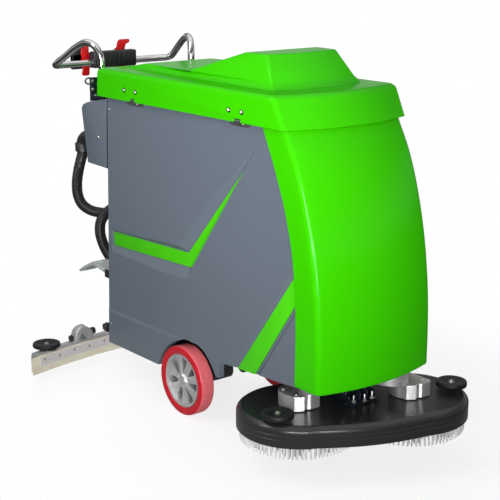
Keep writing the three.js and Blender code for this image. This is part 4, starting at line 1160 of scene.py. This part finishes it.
for side, sign in SIDES:
    x = sign * 384
    plan = rounded([(x - 20, 596), (x + 20, 596), (x + 20, 655), (x - 20, 655)], 8)
    tab = bevel(prism(f"{side}_roller_tab", plan, "z", 90.5, 96.8), 1, 2)
    finish_piece(tab, STAINLESS, "squeegee")
    body = f"{side}_squeegee_bumper"
    roller = turned(f"{side}_wall_roller", [(0, 97.3), (11, 97.3), (13, 100), (45, 100), (49.4, 101.6), (51, 104),
                                            (51, 111), (49.6, 114), (46.6, 115.4), (36, 115.6), (33, 113.4),
                                            (22, 112.6), (19, 110.8), (0, 110.8)], "z", (x, 641, 0), 64)
    finish_piece(roller, RUBBER, body, [f"{side}_squeegee_roller"], 40)
    fit_bolt(f"{side}_wall_roller_bolt", (x, 641, 110.6), (0, 0, 1), (5.6, 5.2, 9), body)
    # stamped hanger bracket with a knob at each end
    hy = arc_y(232, 1918)
    hump = ((276, 97), (262, 136), (244, 148), (222, 150), (198, 132), (188, 97))
    outline = rounded([(sign * x, z) for x, z in hump], 7)
    stamp = bevel(prism(f"{side}_hanger", outline, "y", hy - 19, hy + 17), 2, 3)
    window = rounded([(sign * x, z) for x, z in ((262, 90), (240, 128), (212, 90))], 4)
    boolean(stamp, prism("cut", window, "y", hy - 30, hy + 11))
    boolean(stamp, block("cut", sorted((sign * 270, sign * 194)), (hy - 14, hy + 13), (90, 112), 2))
    finish_piece(stamp, CAST, "squeegee")
    fit_bolt(f"{side}_hanger_bolt", (sign * 228, hy, 149.6), (0, 0, 1), (4.6, 4.2, 7), "squeegee")
    for end, x0, x1, z, r in (("outer", 272, 284, 108, 12), ("inner", 176, 196, 120, 13)):
        low, high = sorted((sign * x0, sign * x1))
        knob = turned(f"{side}_hanger_{end}_knob", [(0, low), (r - 2, low), (r, low + 2), (r, high - 2),
                                                    (r - 2, high), (0, high)], "x", (0, hy, z), 14)
        finish_piece(knob, BLACK, "squeegee")

NOZZLE_Y = 656
nozzle = turned("nozzle_spout", [(19.2, 94.4), (35, 94.4), (36, 95.6), (36, 99), (34, 100.6), (27, 101.6),
                                 (25.8, 104), (25.8, 133), (36, 133), (37, 134), (37, 138), (36, 139),
                                 (25.8, 139), (25.8, 150.6), (24.4, 152), (19.2, 152)], "z", (0, NOZZLE_Y, 0), 56, closed=True)
finish_piece(nozzle, BLACK, "squeegee", ["squeegee_nozzle"], 35)

ARM = rounded([(166, 144), (192, 144), (604, 116), (622, 116), (622, 131), (604, 131), (192, 161), (166, 161)], 5)
arm = []
for low, high in ((-118, -108), (108, 118)):
    bar = bevel(prism("a", ARM, "x", low, high), 1, 2)
    arm.append(drill(bar, 6.5, -140, 140, "x", (0, 180, 152), 28))
arm.append(block("a", (-117, 117), (605, 621), (116.5, 130.5), 2))
arm.append(turned("a", [(26.8, 116.5), (38, 116.5), (39.5, 118), (39.5, 129), (38, 130.5), (26.8, 130.5)],
                  "z", (0, NOZZLE_Y, 0), 48, closed=True))
finish_piece(join("squeegee_draw_arm", arm), PAINT, "squeegee_carrier", ["squeegee_arm"])

# ---------------------------------------------------------------- pedal, outlet, tap, battery terminals
PEDAL_Y, PEDAL_Z = 466, 391
pedal_side = rounded([(454, 384), (474, 382.5), (572, 399), (604, 386), (668, 352), (676, 358), (640, 380),
                      (576, 411), (474, 398), (454, 398)], 4)
pedal = bevel(prism("foot_pedal", pedal_side, "x", -215, -150), 2.6, 3, 40)
boolean(pedal, prism("cut", [(480, 402), (480, 394.5), (560, 406.5), (566, 416)], "x", -207, -158))
drill(pedal, 5.6, -220, -140, "x", (0, PEDAL_Y, PEDAL_Z), 24)
finish_piece(pedal, LIGHT_GREY, "pedal", ["lift_pedal"])
ribs = []
for k in range(6):
    y = 586 + 12 * k
    z = 411 - (y - 576) * (411 - 357) / (676 - 576)
    ribs.append(block("r", (-208, -157), (y, y + 3), (z - 5, z + 1.2), 0.6))
finish_piece(join("pedal_grip", ribs), LIGHT_GREY, "pedal")

outlet_route = [Vector(p) for p in ((-185, 590, 866), (-185, 612, 868), (-185, 640, 862), (-185, 660, 848),
                                    (-185, 667, 832), (-185, 668.6, 818.6))]
outlet = sweep("outlet_elbow", resample(smooth_path(outlet_route, 12), 2.5), lambda i: 23.0, 32)
finish_piece(outlet, BLACK, "machine", ["suction_outlet"], 60)
collar = turned("outlet_collar", [(20.4, 0), (25.4, 0), (26.4, 1.2), (26.4, 30), (25, 32), (20.4, 32)], "z",
                (0, 0, 0), 40, closed=True)
collar.data.transform(Matrix.Translation(at(-185, 668.8, 806)) @ Matrix.Rotation(math.radians(-3), 4, "X")
                      @ Matrix.Translation(-at(0, 0, 0)))
finish_piece(collar, BLACK, "machine", angle=35)
cuff = turned("nozzle_cuff", [(20.2, 150), (23.4, 150), (24, 151), (24, 184), (22.6, 186), (20.2, 186)], "z",
              (0, NOZZLE_Y, 0), 40, closed=True)
finish_piece(cuff, BLACK, "squeegee_carrier")

tap = [cylinder("t", 9, 456, 498, "y", (-200, 0, 172), 24),
       turned("t", [(0, 497), (15, 497), (17, 499), (17, 517), (15, 520), (9, 522), (9, 532), (7, 534), (0, 534)],
              "y", (-200, 0, 172), 10)]
finish_piece(join("drain_tap", tap), BLACK, "machine")
for side, sign in SIDES:
    for k, y in enumerate((180, 398)):
        post = turned(f"{side}_terminal_{k}", [(0, 441), (9.4, 441), (9, 451), (8, 453), (0, 453)], "z",
                      (sign * 100, y, 0), 24)
        finish_piece(post, LEAD, "machine")

# ---------------------------------------------------------------- carried-over nodes
slot_of = {row["node"]: row["material_slot"] for row in frame["record"]["subparts"]}
for node, obj in frame["nodes"].items():
    obj.data.materials.clear()
    obj.data.materials.append(SLOTS[slot_of[node]])
